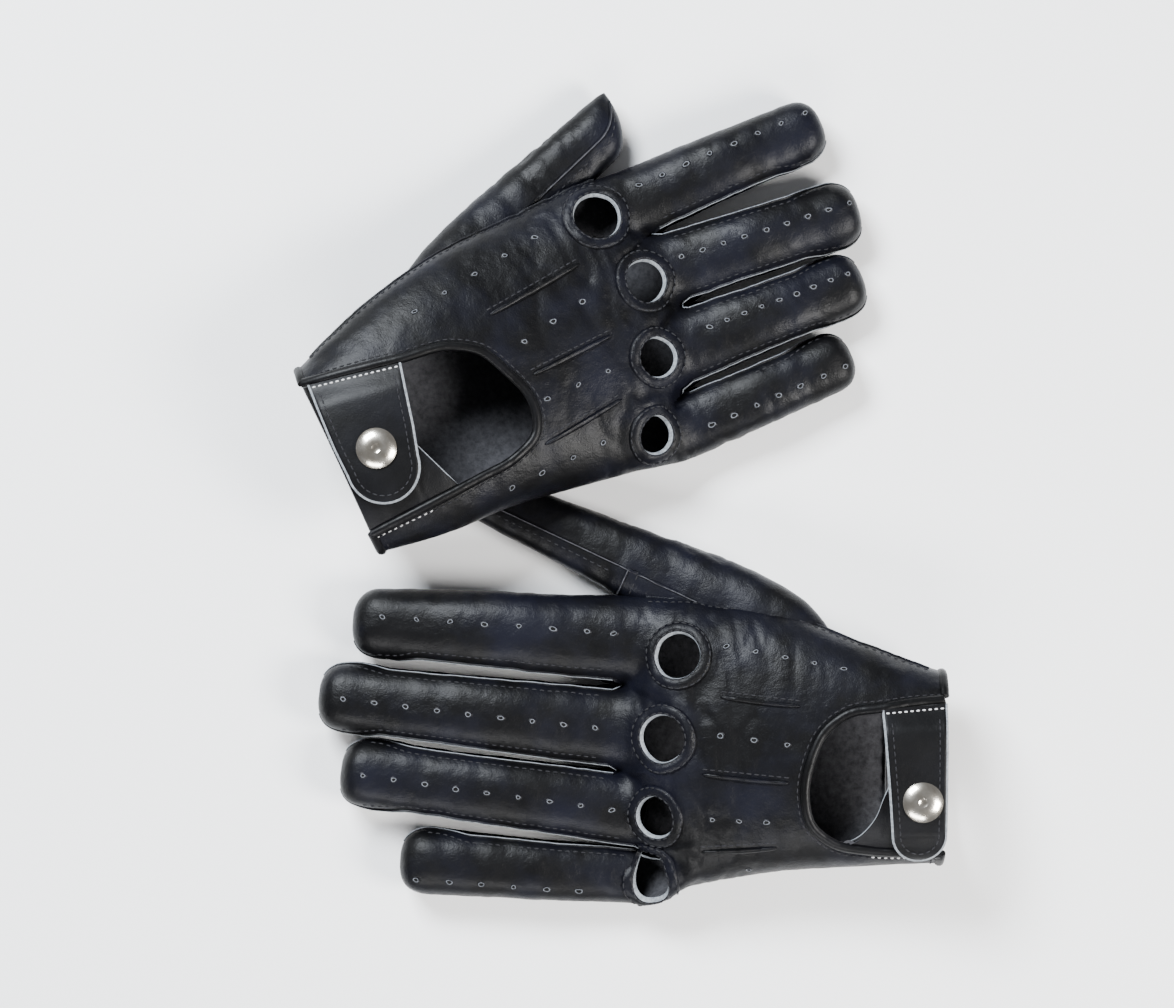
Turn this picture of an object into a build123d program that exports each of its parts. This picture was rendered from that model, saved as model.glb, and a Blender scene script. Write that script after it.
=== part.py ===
from build123d import *
import os
from dataclasses import dataclass
from math import asin, cos, hypot, radians, sin, sqrt

# A pair of leather driving gloves, lying palm down with the right glove above the left.
# Millimetres, +Z up, resting plane at z = 0, X and Y through the middle of the pair.
#
# Every glove is drawn in its own frame first: u runs from the cuff to the fingers, v runs
# from the little finger to the thumb, z is up. GloveForm.side turns v into that frame's y.

# ---- driving dimensions ----------------------------------------------------------------
LEATHER = 1.1            # thickness of the glove leather
BODY_GAP = 0.4           # free gap between pieces that move against each other
FINGER_FLATTEN = 0.78    # height of a finger stall over its width
THUMB_FLATTEN = 0.70
FOURCHETTE_HEIGHT = 10.0  # height of the side walls sewn between the fingers
RING_WIDTH = 3.6         # leather ring sewn round a knuckle hole
RING_HEIGHT = 0.9
BINDING_WIDTH = 3.0      # rolled binding at the opening and at the cuff
BINDING_HEIGHT = 1.0
ELASTIC_WIDTH = 6.0
ELASTIC_THICKNESS = 1.0
ELASTIC_FROM_CUFF = 12.0
STRAP_CLEAR = 1.7        # underside of the strap above the back of the hand
STRAP_LAYER = 0.8        # each of the two leather layers of the strap
CAP_RADIUS = 7.0         # press stud: domed cap, socket, stud and rivet
CAP_HEIGHT = 2.3
CAP_RIM = 0.6
DIMPLE_RADIUS = 1.6
DIMPLE_DEPTH = 0.3
SHANK_RADIUS = 1.0       # the shank and the rivet pass through the leather
SOCKET_RADIUS = 5.4
SOCKET_BORE = 2.5
SOCKET_HEIGHT = 1.0
STUD_RADIUS = 2.0
STUD_HEIGHT = 1.4
STUD_FLANGE = 4.8
FLANGE_HEIGHT = 0.4
STALL_REST = 0.4         # free height under a stall where it lies flat
STALL_RUN_BACK = 22.0    # a stall is drawn this far into the hand, then cut off at its root
HEEL_GROW = 0.3          # the thumb's round heel reaches this far past its own side
HOLE_CUT = 6.0           # half the depth that is cut for a knuckle hole
RING_CUT = 5.0
STUD_ROUND = 0.4
DOME_PLACE = 0.62        # share of the cap's radius, and the drop below its crown there
DOME_DROP = 0.36
FAR = 140.0              # longer than anything that has to be cut through


@dataclass
class Finger:
    """A stall: plan points of its root and tip centres, and its radii there."""
    name: str
    root: tuple
    tip: tuple
    root_radius: float
    tip_radius: float
    walls: tuple          # sides with a fourchette: +1 towards the thumb, -1 away from it


@dataclass
class GloveForm:
    name: str
    side: int             # +1 where v is left of the fingers' direction, -1 where it is right
    cuff_centre: tuple    # place of the cuff in the pair
    heading: float        # direction of the fingers in the pair, degrees
    cuff: float           # u of the cuff edge
    sections: list        # u, lowest v, highest v, lowest z, highest z
    root_line: list       # plan line where the fingers start, thumb side first
    fingers: list
    thumb: Finger
    thumb_bend: float     # the thumb bends this far along its own length
    holes: list           # knuckle holes: u, v, radius
    notch: list           # plan outline of the opening on the back
    notch_corner: float
    strap: list           # plan outline of the wrist strap, its sewn root first and last
    strap_corner: float
    underlap: list        # plan outline of the tab under the strap
    snap: tuple           # plan place of the press stud


RIGHT = GloveForm(
    name="right",
    side=1,
    cuff_centre=(-96.8, 14.0),
    heading=25.0,
    cuff=-1.0,
    sections=[
        (-6.0, -34.0, 33.0, 18.5, 50.5),
        (24.0, -38.5, 44.0, 15.0, 50.5),
        (46.0, -39.5, 49.5, 9.5, 47.0),
        (72.0, -43.5, 52.5, 0.0, 40.0),
        (100.0, -48.0, 52.8, 0.0, 32.0),
        (142.0, -51.5, 52.3, 0.0, 21.0),
    ],
    root_line=[(132.5, 90.0), (134.6, 25.9), (133.8, -0.6), (120.3, -28.2), (113.0, -90.0)],
    fingers=[
        Finger("index", (133.5, 38.9), (190.5, 37.4), 12.5, 11.3, (-1,)),
        Finger("middle", (134.5, 12.7), (189.5, 5.7), 12.8, 11.5, (1, -1)),
        Finger("ring", (127.2, -14.4), (181.0, -18.0), 13.2, 11.0, (1, -1)),
        Finger("little", (117.8, -39.9), (166.4, -41.2), 11.2, 10.6, (1,)),
    ],
    thumb=Finger("thumb", (62.0, 44.5), (131.0, 70.0), 14.0, 6.6, ()),
    thumb_bend=53.0,
    holes=[(115.9, 39.8, 7.9), (121.5, 12.1, 7.6), (114.4, -13.9, 7.2), (102.3, -38.6, 6.4)],
    notch=[(-25, 29.5), (33, 21.5), (57, 17), (68, -7), (64, -21), (50, -25), (-25, -28)],
    notch_corner=8.0,
    strap=[(0.5, 27.8), (-1.8, 4.0), (-1.8, -21.5), (23.5, -21.5), (27.0, 0.0), (33.0, 21.3)],
    strap_corner=11.5,
    underlap=[(-30, 8.0), (20.0, 8.0), (25.0, -4.0), (34.0, -32.0), (-30, -32.0)],
    snap=(13.0, -2.0),
)

LEFT = GloveForm(
    name="left",
    side=-1,
    cuff_centre=(108.0, -98.0),
    heading=179.0,
    cuff=-3.0,
    sections=[
        (-8.0, -28.0, 36.5, 8.0, 41.5),
        (20.0, -30.0, 46.0, 5.0, 41.5),
        (50.0, -32.5, 57.5, 0.0, 39.0),
        (82.0, -38.5, 61.5, 0.0, 34.0),
        (100.0, -42.5, 62.8, 0.0, 29.5),
        (122.0, -46.0, 63.2, 0.0, 25.0),
    ],
    root_line=[(110.0, 95.0), (111.8, 31.2), (112.8, 1.6), (101.3, -26.0), (97.0, -80.0)],
    fingers=[
        Finger("index", (112.0, 47.4), (191.3, 51.3), 15.3, 12.3, (-1,)),
        Finger("middle", (112.5, 16.3), (203.0, 24.8), 14.2, 12.1, (1, -1)),
        Finger("ring", (107.2, -12.4), (195.0, -1.9), 13.0, 11.9, (1, -1)),
        Finger("little", (100.0, -36.2), (173.8, -32.4), 9.8, 11.7, (1,)),
    ],
    thumb=Finger("thumb", (50.0, 50.0), (154.5, 95.0), 17.0, 8.8, ()),
    thumb_bend=74.0,
    holes=[(89.7, 42.5, 7.9), (94.4, 13.4, 8.0), (96.0, -14.3, 7.2), (96.3, -37.0, 6.0)],
    notch=[(-25, 29.0), (19, 25.6), (35, 22), (44, -2), (41, -17), (30, -22), (-25, -24)],
    notch_corner=7.0,
    strap=[(-4.0, 27.8), (-4.8, 0.0), (-4.8, -27.5), (14.0, -27.5), (15.6, 0.0), (18.8, 25.4)],
    strap_corner=8.8,
    underlap=[(-30, 4.0), (14.0, 4.0), (18.0, -4.0), (35.0, -30.0), (-30, -30.0)],
    snap=(4.3, -6.2),
)

# The pair's bounding box is centred on the origin by this shift.
PAIR_SHIFT = (0.0, 1.3)


# ---- frames ----------------------------------------------------------------------------
def glove_plane(glove):
    """The plane that carries a glove's own frame into the pair."""
    turn = radians(glove.heading)
    x, y = glove.cuff_centre
    origin = (x + PAIR_SHIFT[0], y + PAIR_SHIFT[1], 0)
    return Plane(origin=origin, x_dir=(cos(turn), sin(turn), 0), z_dir=(0, 0, 1))


def stall_height(radius, flatten):
    """Height of a stall's axis where it lies on the resting plane."""
    return radius * flatten + STALL_REST


def stall_plane(glove, finger, flatten):
    """Plane at a stall's root with X along the stall and Z up from it."""
    rise = stall_height(finger.tip_radius, flatten) - stall_height(finger.root_radius, flatten)
    run_u = finger.tip[0] - finger.root[0]
    run_y = glove.side * (finger.tip[1] - finger.root[1])
    run = hypot(run_u, run_y)
    origin = (finger.root[0], glove.side * finger.root[1], stall_height(finger.root_radius, flatten))
    x_dir = (run_u / run, run_y / run, rise / run)
    z_dir = (-rise / run * run_u / run, -rise / run * run_y / run, 1)
    return Plane(origin=origin, x_dir=x_dir, z_dir=z_dir)


def stall_length(finger):
    return hypot(finger.tip[0] - finger.root[0], finger.tip[1] - finger.root[1])


def section_at(glove, u):
    """Interpolated cross-section of the hand: lowest v, highest v, lowest z, highest z."""
    for near, far in zip(glove.sections, glove.sections[1:]):
        if near[0] <= u <= far[0]:
            part = (u - near[0]) / (far[0] - near[0])
            return [a + part * (b - a) for a, b in zip(near[1:], far[1:])]
    raise ValueError(f"no section at u = {u}")


def back_plane(glove, u, v):
    """Plane on the back of the hand above a plan point, with Z out of the leather."""
    v_low, v_high, z_low, z_high = section_at(glove, u)
    radius = (z_high - z_low) / 2
    middle = (v_low + v_high) / 2
    past_flat = abs(v - middle) - ((v_high - v_low) / 2 - radius)
    lean = asin(past_flat / radius) if past_flat > 0 else 0.0
    outward = glove.side * (1 if v > middle else -1)
    height = (z_low + z_high) / 2 + radius * cos(lean)
    return Plane(
        origin=(u, glove.side * v, height),
        x_dir=(1, 0, 0),
        z_dir=(0, outward * sin(lean), cos(lean)),
    )


# ---- forms that the pieces are cut from ------------------------------------------------
def hand_form(glove, grow):
    """Solid of the hand between cuff and fingers, with its surface moved out by grow."""
    with BuildPart() as form:
        for u, v_low, v_high, z_low, z_high in glove.sections:
            middle = (u, glove.side * (v_low + v_high) / 2, (z_low + z_high) / 2)
            with BuildSketch(Plane(origin=middle, x_dir=(0, 1, 0), z_dir=(1, 0, 0))):
                SlotOverall(v_high - v_low + 2 * grow, z_high - z_low + 2 * grow)
        loft(ruled=True)
    return form.part


def plan_prism(glove, outline, corner=0.0, widen=0.0):
    """Upright block through the whole glove over a plan outline."""
    with BuildPart() as prism:
        with BuildSketch(Plane.XY.offset(-FAR / 2)) as sketch:
            with BuildLine():
                Polyline(*[(u, glove.side * v) for u, v in outline], close=True)
            make_face()
            if corner:
                fillet(sketch.vertices(), corner)
            if widen:
                offset(amount=widen, kind=Kind.ARC)
        extrude(amount=1.5 * FAR)
    return prism.part


def hand_region(glove, shift):
    """Block over the hand, from the cuff to the roots of the fingers."""
    line = [(u + shift, v) for u, v in glove.root_line]
    return plan_prism(glove, [(glove.cuff, line[0][1])] + line + [(glove.cuff, line[-1][1])])


def above_seam(glove):
    """Block over the seam that joins back and palm at the middle of the hand's height."""
    seam = [(u, (z_low + z_high) / 2) for u, v_low, v_high, z_low, z_high in glove.sections]
    with BuildPart() as block:
        with BuildSketch(Plane.XZ):
            with BuildLine():
                Polyline(*seam, (seam[-1][0], FAR), (seam[0][0], FAR), close=True)
            make_face()
        extrude(amount=FAR, both=True)
    return block.part


def layer(glove, inner, outer):
    """Leather layer that follows the hand between two distances from its surface."""
    with BuildPart() as shell:
        add(hand_form(glove, outer))
        add(hand_form(glove, inner), mode=Mode.SUBTRACT)
    return shell.part


def stall_form(finger, grow, flatten, run_back):
    """Solid of a finger or thumb along +X: a tapered capsule, flatter than wide.

    It runs straight back past its root by run_back, or has a round root if that is zero.
    """
    length = stall_length(finger)
    root = finger.root_radius + grow
    tip = finger.tip_radius + grow
    back = root + (root - tip) / length * run_back
    start = -run_back if run_back else -root
    with BuildPart() as form:
        with BuildSketch():
            with BuildLine():
                if run_back:
                    Polyline((start, 0), (start, back), (length, tip))
                else:
                    ThreePointArc((start, 0), (start * sqrt(0.5), root * sqrt(0.5)), (0, root))
                    Line((0, root), (length, tip))
                ThreePointArc(
                    (length, tip),
                    (length + tip * sqrt(0.5), tip * sqrt(0.5)),
                    (length + tip, 0),
                )
                Line((length + tip, 0), (start, 0))
            make_face()
        revolve(axis=Axis.X)
        scale(by=(1, 1, flatten))
    return form.part


def stall_shell(finger, flatten, run_back):
    """Leather skin of a stall; one that runs straight back is open there."""
    past_root = run_back + LEATHER if run_back else 0.0
    with BuildPart() as shell:
        add(stall_form(finger, 0.0, flatten, run_back))
        add(stall_form(finger, -LEATHER, flatten, past_root), mode=Mode.SUBTRACT)
    return shell.part


# ---- the hand of a glove ---------------------------------------------------------------
def make_panels(glove):
    """Back and palm of the hand, with the notch, the knuckle holes and the thumb hole."""
    skin = layer(glove, -LEATHER, 0.0)
    region = hand_region(glove, -BODY_GAP / 2)
    upper = above_seam(glove)
    thumb_bore = stall_form(glove.thumb, -LEATHER, THUMB_FLATTEN, 0.0)
    thumb_bore = thumb_bore.moved(stall_plane(glove, glove.thumb, THUMB_FLATTEN).location)

    with BuildPart() as back:
        add(skin)
        add(region, mode=Mode.INTERSECT)
        add(upper, mode=Mode.INTERSECT)
        add(plan_prism(glove, glove.notch, glove.notch_corner), mode=Mode.SUBTRACT)
        add(thumb_bore, mode=Mode.SUBTRACT)
        for u, v, radius in glove.holes:
            with BuildSketch(back_plane(glove, u, v).offset(-HOLE_CUT)):
                Circle(radius)
            extrude(amount=2 * HOLE_CUT, mode=Mode.SUBTRACT)

    with BuildPart() as palm:
        add(skin)
        add(region, mode=Mode.INTERSECT)
        add(upper, mode=Mode.SUBTRACT)
        add(thumb_bore, mode=Mode.SUBTRACT)

    return {"back_panel": back.part, "palm_panel": palm.part}


def make_knuckle_rings(glove):
    """Rings of leather sewn round the four knuckle holes."""
    with BuildPart() as tubes:
        for u, v, radius in glove.holes:
            with BuildSketch(back_plane(glove, u, v).offset(-RING_CUT)):
                Circle(radius + RING_WIDTH)
                Circle(radius, mode=Mode.SUBTRACT)
            extrude(amount=2 * RING_CUT)
    with BuildPart() as rings:
        add(layer(glove, 0.0, RING_HEIGHT))
        add(hand_region(glove, -BODY_GAP), mode=Mode.INTERSECT)
        add(above_seam(glove), mode=Mode.INTERSECT)
        add(tubes.part, mode=Mode.INTERSECT)
    return {"knuckle_rings": rings.part}


def make_bindings(glove):
    """Rolled bindings: round the opening on the back, and round the cuff."""
    cuff_end = glove.cuff + BINDING_WIDTH
    cuff_band = [(glove.cuff, FAR), (cuff_end, FAR), (cuff_end, -FAR), (glove.cuff, -FAR)]
    beyond_cuff = [(cuff_end, FAR), (FAR, FAR), (FAR, -FAR), (cuff_end, -FAR)]
    notch = plan_prism(glove, glove.notch, glove.notch_corner)

    with BuildPart() as opening:
        add(layer(glove, 0.0, BINDING_HEIGHT))
        add(above_seam(glove), mode=Mode.INTERSECT)
        add(plan_prism(glove, glove.notch, glove.notch_corner, BINDING_WIDTH), mode=Mode.INTERSECT)
        add(plan_prism(glove, beyond_cuff), mode=Mode.INTERSECT)
        add(notch, mode=Mode.SUBTRACT)

    with BuildPart() as opening_above:
        add(notch)
        add(above_seam(glove), mode=Mode.INTERSECT)
    with BuildPart() as cuff:
        add(layer(glove, 0.0, BINDING_HEIGHT))
        add(plan_prism(glove, cuff_band), mode=Mode.INTERSECT)
        add(opening_above.part, mode=Mode.SUBTRACT)

    return {"opening_binding": opening.part, "cuff_binding": cuff.part}


def make_elastic(glove):
    """Elastic tape sewn across the inside of the palm at the wrist."""
    start = glove.cuff + ELASTIC_FROM_CUFF
    end = start + ELASTIC_WIDTH
    inner = -LEATHER - ELASTIC_THICKNESS
    with BuildPart() as elastic:
        add(layer(glove, inner, -LEATHER))
        add(plan_prism(glove, [(start, FAR), (end, FAR), (end, -FAR), (start, -FAR)]), mode=Mode.INTERSECT)
        add(above_seam(glove), mode=Mode.SUBTRACT)
    return {"wrist_elastic": elastic.part}


def make_underlap(glove):
    """Tab that fills the little-finger side of the notch, under the strap."""
    with BuildPart() as tab:
        add(layer(glove, -LEATHER, 0.0))
        add(plan_prism(glove, glove.notch, glove.notch_corner), mode=Mode.INTERSECT)
        add(plan_prism(glove, glove.underlap), mode=Mode.INTERSECT)
        add(hand_region(glove, 0.0), mode=Mode.INTERSECT)
        add(above_seam(glove), mode=Mode.INTERSECT)
        with Locations(back_plane(glove, *glove.snap)):
            Cylinder(SHANK_RADIUS, 4 * LEATHER, mode=Mode.SUBTRACT)
    return {"underlap_tab": tab.part}


def make_strap(glove):
    """Wrist strap of two leather layers, free from its sewn root to its round end."""
    outline = plan_prism(glove, glove.strap)
    ends = sorted(glove.strap, key=lambda point: point[1])[:2]
    with BuildPart() as rounded:
        add(outline)
        free = [
            edge
            for edge in rounded.edges().filter_by(Axis.Z)
            if any(hypot(edge.center().X - u, edge.center().Y - glove.side * v) < 0.1 for u, v in ends)
        ]
        fillet(free, glove.strap_corner)
    bottom = STRAP_CLEAR
    middle = bottom + STRAP_LAYER
    top = middle + STRAP_LAYER
    layers = {"strap_lining": (bottom, middle), "strap": (middle, top)}
    pieces = {}
    for name, (inner, outer) in layers.items():
        with BuildPart() as strap:
            add(layer(glove, inner, outer))
            add(rounded.part, mode=Mode.INTERSECT)
            add(above_seam(glove), mode=Mode.INTERSECT)
            with Locations(back_plane(glove, *glove.snap)):
                Cylinder(SHANK_RADIUS, 4 * top, mode=Mode.SUBTRACT)
        pieces[name] = strap.part
    return pieces


def make_press_stud(glove):
    """Press stud: cap and socket on the strap, stud and rivet on the tab below."""
    base = back_plane(glove, *glove.snap)
    strap_bottom = STRAP_CLEAR
    strap_top = STRAP_CLEAR + 2 * STRAP_LAYER

    crown = strap_top + CAP_HEIGHT
    with BuildPart() as cap:
        with BuildSketch(Plane(base.origin, x_dir=base.x_dir, z_dir=-base.y_dir)):
            with BuildLine():
                Polyline(
                    (0, crown - DIMPLE_DEPTH),
                    (0, strap_bottom),
                    (SHANK_RADIUS, strap_bottom),
                    (SHANK_RADIUS, strap_top),
                    (CAP_RADIUS, strap_top),
                    (CAP_RADIUS, strap_top + CAP_RIM),
                )
                dome_start = (CAP_RADIUS, strap_top + CAP_RIM)
                dome_middle = (DOME_PLACE * CAP_RADIUS, crown - DOME_DROP)
                ThreePointArc(dome_start, dome_middle, (DIMPLE_RADIUS, crown))
                bowl = (DIMPLE_RADIUS**2 + DIMPLE_DEPTH**2) / (2 * DIMPLE_DEPTH)
                half = DIMPLE_RADIUS / 2
                half_height = crown - DIMPLE_DEPTH + bowl - sqrt(bowl**2 - half**2)
                ThreePointArc((DIMPLE_RADIUS, crown), (half, half_height), (0, crown - DIMPLE_DEPTH))
            make_face()
        revolve(axis=Axis(base.origin, base.z_dir))

    with BuildPart() as socket:
        with BuildSketch(base.offset(strap_bottom - SOCKET_HEIGHT)):
            Circle(SOCKET_RADIUS)
            Circle(SOCKET_BORE, mode=Mode.SUBTRACT)
        extrude(amount=SOCKET_HEIGHT)

    with BuildPart() as stud:
        with BuildSketch(base):
            Circle(STUD_FLANGE)
        extrude(amount=FLANGE_HEIGHT)
        with BuildSketch(base.offset(FLANGE_HEIGHT)):
            Circle(STUD_RADIUS)
        extrude(amount=STUD_HEIGHT - FLANGE_HEIGHT)
        fillet(stud.edges().filter_by(GeomType.CIRCLE).sort_by(Axis.Z)[-1], STUD_ROUND)

    with BuildPart() as rivet:
        with BuildSketch(base.offset(-LEATHER - FLANGE_HEIGHT)):
            Circle(STUD_FLANGE)
        extrude(amount=FLANGE_HEIGHT)
        with BuildSketch(base.offset(-LEATHER)):
            Circle(SHANK_RADIUS)
        extrude(amount=LEATHER)

    return {
        "snap_cap": cap.part,
        "snap_socket": socket.part,
        "snap_stud": stud.part,
        "snap_rivet": rivet.part,
    }


# ---- fingers and thumb -----------------------------------------------------------------
def make_finger(glove, finger):
    """A finger stall: back strip, palm strip, and the fourchettes between them."""
    length = stall_length(finger)
    skin = stall_shell(finger, FINGER_FLATTEN, STALL_RUN_BACK)
    place = stall_plane(glove, finger, FINGER_FLATTEN).location
    region = hand_region(glove, BODY_GAP / 2)

    with BuildPart() as bands:
        for wall in finger.walls:
            middle = ((length - STALL_RUN_BACK) / 2, glove.side * wall * FAR / 4, 0)
            with Locations(middle):
                Box(length + STALL_RUN_BACK, FAR / 2, FOURCHETTE_HEIGHT)
    with BuildPart() as upper:
        Box(2 * FAR, FAR, FAR, align=(Align.CENTER, Align.CENTER, Align.MIN))

    with BuildPart() as back:
        add(skin)
        add(upper.part, mode=Mode.INTERSECT)
        add(bands.part, mode=Mode.SUBTRACT)
    with BuildPart() as palm:
        add(skin)
        add(upper.part, mode=Mode.SUBTRACT)
        add(bands.part, mode=Mode.SUBTRACT)
    with BuildPart() as side:
        add(skin)
        add(bands.part, mode=Mode.INTERSECT)

    pieces = {}
    for strip, piece in {"back": back, "palm": palm, "fourchettes": side}.items():
        with BuildPart() as trimmed:
            add(piece.part.moved(place))
            add(region, mode=Mode.SUBTRACT)
        pieces[f"{finger.name}_{strip}"] = trimmed.part
    return pieces


def make_thumb(glove):
    """Thumb: its base on the hand, and the bending end in two halves sewn lengthwise."""
    thumb = glove.thumb
    length = stall_length(thumb)
    taper = (thumb.root_radius - thumb.tip_radius) / length
    end_radius = thumb.root_radius - taper * glove.thumb_bend + HEEL_GROW
    skin = stall_shell(thumb, THUMB_FLATTEN, 0.0)
    place = stall_plane(glove, thumb, THUMB_FLATTEN).location

    def beyond_bend(grow):
        """Block over the bending end, with a round heel about the bend."""
        with BuildPart() as block:
            with Locations((glove.thumb_bend + FAR / 2, 0, 0)):
                Box(FAR, FAR, FAR)
            with Locations((glove.thumb_bend, 0, 0)):
                Cylinder(end_radius + grow, FAR)
        return block.part

    with BuildPart() as base:
        add(skin)
        add(beyond_bend(BODY_GAP), mode=Mode.SUBTRACT)
    with BuildPart() as base_outside:
        add(base.part.moved(place))
        add(hand_form(glove, 0.0), mode=Mode.SUBTRACT)

    with BuildPart() as upper:
        Box(2 * FAR, FAR, FAR, align=(Align.CENTER, Align.CENTER, Align.MIN))
    with BuildPart() as back:
        add(skin)
        add(beyond_bend(0.0), mode=Mode.INTERSECT)
        add(upper.part, mode=Mode.INTERSECT)
    with BuildPart() as front:
        add(skin)
        add(beyond_bend(0.0), mode=Mode.INTERSECT)
        add(upper.part, mode=Mode.SUBTRACT)

    return {
        "thumb_base": base_outside.part,
        "thumb_back": back.part.moved(place),
        "thumb_front": front.part.moved(place),
    }


# ---- a whole glove ---------------------------------------------------------------------
def make_glove(glove):
    """All pieces of one glove, in the glove's own frame."""
    pieces = {}
    pieces.update(make_panels(glove))
    pieces.update(make_knuckle_rings(glove))
    pieces.update(make_bindings(glove))
    pieces.update(make_elastic(glove))
    pieces.update(make_underlap(glove))
    pieces.update(make_strap(glove))
    pieces.update(make_press_stud(glove))
    pieces.update(make_thumb(glove))
    for finger in glove.fingers:
        pieces.update(make_finger(glove, finger))
    return pieces


os.makedirs("parts", exist_ok=True)
for glove in (RIGHT, LEFT):
    place = glove_plane(glove).location
    for name, piece in make_glove(glove).items():
        placed = piece.moved(place)
        placed.label = f"{glove.name}_{name}"
        export_step(placed, f"parts/{placed.label}.step")
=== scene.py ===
import math

import bmesh
import bpy
import numpy as np
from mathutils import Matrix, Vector, noise
from mathutils.bvhtree import BVHTree


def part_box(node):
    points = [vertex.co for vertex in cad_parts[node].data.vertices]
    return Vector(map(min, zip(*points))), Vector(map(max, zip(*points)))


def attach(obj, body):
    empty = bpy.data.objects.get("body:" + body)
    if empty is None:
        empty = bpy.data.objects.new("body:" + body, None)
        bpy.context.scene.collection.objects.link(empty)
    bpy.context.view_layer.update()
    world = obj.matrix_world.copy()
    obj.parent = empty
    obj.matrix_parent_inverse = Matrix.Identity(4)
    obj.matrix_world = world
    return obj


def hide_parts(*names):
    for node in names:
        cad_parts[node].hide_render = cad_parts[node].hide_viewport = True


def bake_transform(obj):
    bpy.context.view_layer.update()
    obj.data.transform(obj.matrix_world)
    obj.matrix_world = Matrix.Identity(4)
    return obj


# Pair of leather driving gloves. Each glove is drawn in its own frame in millimetres:
# u from the cuff to the fingers, v from the little finger to the thumb, z up.

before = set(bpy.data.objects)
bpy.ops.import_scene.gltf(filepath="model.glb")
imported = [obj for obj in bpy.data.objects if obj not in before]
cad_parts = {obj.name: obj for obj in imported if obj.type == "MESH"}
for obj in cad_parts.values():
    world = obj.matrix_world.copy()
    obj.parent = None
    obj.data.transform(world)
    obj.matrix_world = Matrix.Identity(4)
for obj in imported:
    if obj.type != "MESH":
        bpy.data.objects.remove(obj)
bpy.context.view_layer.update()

MM = 0.001
HAND_POWER = 2.5         # superellipse power of the hand's cross-section
STALL_POWER = 2.5        # and of a finger stall
TIP_POWER = 2.7          # and of the plan of a fingertip
FLATTEN = 0.78           # height of a stall over its width
THUMB_FLATTEN = 0.70
WEB = 24.0               # the hand turns into four stalls over this length
COLUMN = 24              # quads across one finger's share of the hand
HAND_ROWS = 96
STALL_ROWS = 46
TIP_ROWS = 10
THUMB_COLUMNS = 48
THUMB_ROWS = 70
THUMB_SEAM = THUMB_COLUMNS // 2 + 1      # the thumb's seam runs just past its top
SIDE_SEAM = 3            # column of the hand's grid that carries the side seam
SEAM_ANGLE = 62.0        # where the back strip of a finger meets its side wall
TIP_SEAM_ANGLE = 88.0    # and where it does so at the fingertip
NO_WALL_ANGLE = 100.0    # where the back strip ends on a side without a wall
CROTCH_ROWS = 2.6        # the seam round a gap between fingers runs this far into the hand
LEATHER = 1.0            # thickness in mm, as are the next three
STRIP_LEATHER = 0.9
WALL_LEATHER = 0.7
RING_LEATHER = 0.5
RING_WIDTH = 3.7
HOLE_GROW = 1.3          # the leather is cut wider than a knuckle ring's hole by this
HOLE_DEPTH = 9.0
CAP_HEIGHT = 2.3         # of a press stud's cap
ABOVE = 120.0            # a height over everything, to look down from
FINGER_BEND = 24.0       # length at a finger's root meant to bend; blend_finger finds its ends but bends nothing
THUMB_BEND = 10.5        # and half of that at the thumb
OPENING_MIDDLE = np.array([25.0, 0.0])

# Profiles of (side, out) points: a raw seam edge, a pressed seam, and a knuckle ring.
SEAM_EDGE = [(-0.5, -0.7), (-0.42, 0.55), (-0.16, 0.8), (0.16, 0.8), (0.42, 0.55), (0.5, -0.7)]
FLAT_SEAM = [(-0.5, -0.6), (-0.4, 0.4), (-0.13, 0.6), (0.13, 0.6), (0.4, 0.4), (0.5, -0.6)]
RING_PROFILE = [
    (-0.5, -1.1), (-0.05, 0.75), (0.35, 1.05), (1.5, 1.25),
    (2.4, 1.15), (3.2, 0.95), (3.7, 0.35), (3.8, -0.5),
]
# Rings of a punched hole: radius, height, and how much of the uneven outline it shows.
PUNCH_RINGS = [
    (1.5, -0.1, 0.3), (0.95, 0.2, 0.8), (0.66, 0.2, 1.0), (0.44, 0.05, 1.0), (0.05, 0.04, 0.0),
]
# Stitches: step, length, radius, and height over the leather.
STITCHES = {
    "seam": (2.7, 1.7, 0.24, 0.08),
    "finger": (2.7, 1.7, 0.24, 0.06),
    "ring": (2.6, 1.9, 0.28, 0.1),
    "opening": (2.6, 1.8, 0.26, 0.12),
    "cuff": (2.8, 2.0, 0.27, 0.15),
    "tuck": (2.4, 1.9, 0.27, 0.1),
    "strap": (2.5, 1.8, 0.27, 0.1),
    "strap_root": (2.0, 1.2, 0.3, 0.15),
    "underlap": (2.1, 1.2, 0.3, 0.15),
}


class Stall:
    """A finger or thumb, from the plan points and radii of its root and tip centres.

    walls: the sides with a side wall, 1 at the thumb and -1 at the little finger; arch: how
    far its middle rises; holes: count, first and last place along it, and way off its axis.
    """

    def __init__(self, name, root, tip, root_radius, tip_radius, walls, arch, holes):
        self.name = name
        self.root = np.array(root, float)
        self.tip = np.array(tip, float)
        self.root_radius = root_radius
        self.tip_radius = tip_radius
        self.walls = walls
        self.arch = arch
        self.holes = holes
        span = self.tip - self.root
        self.length = float(np.hypot(*span))
        self.along = span / self.length
        self.across = np.array([self.along[1], -self.along[0]])


class Glove:
    """One glove's measures, in its own frame.

    sections: u, lowest v, highest v, lowest z and highest z; knuckles: u, v and radius of
    each hole; notch: outline of the opening on the back; hole_rows: start, end and count.
    """


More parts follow.
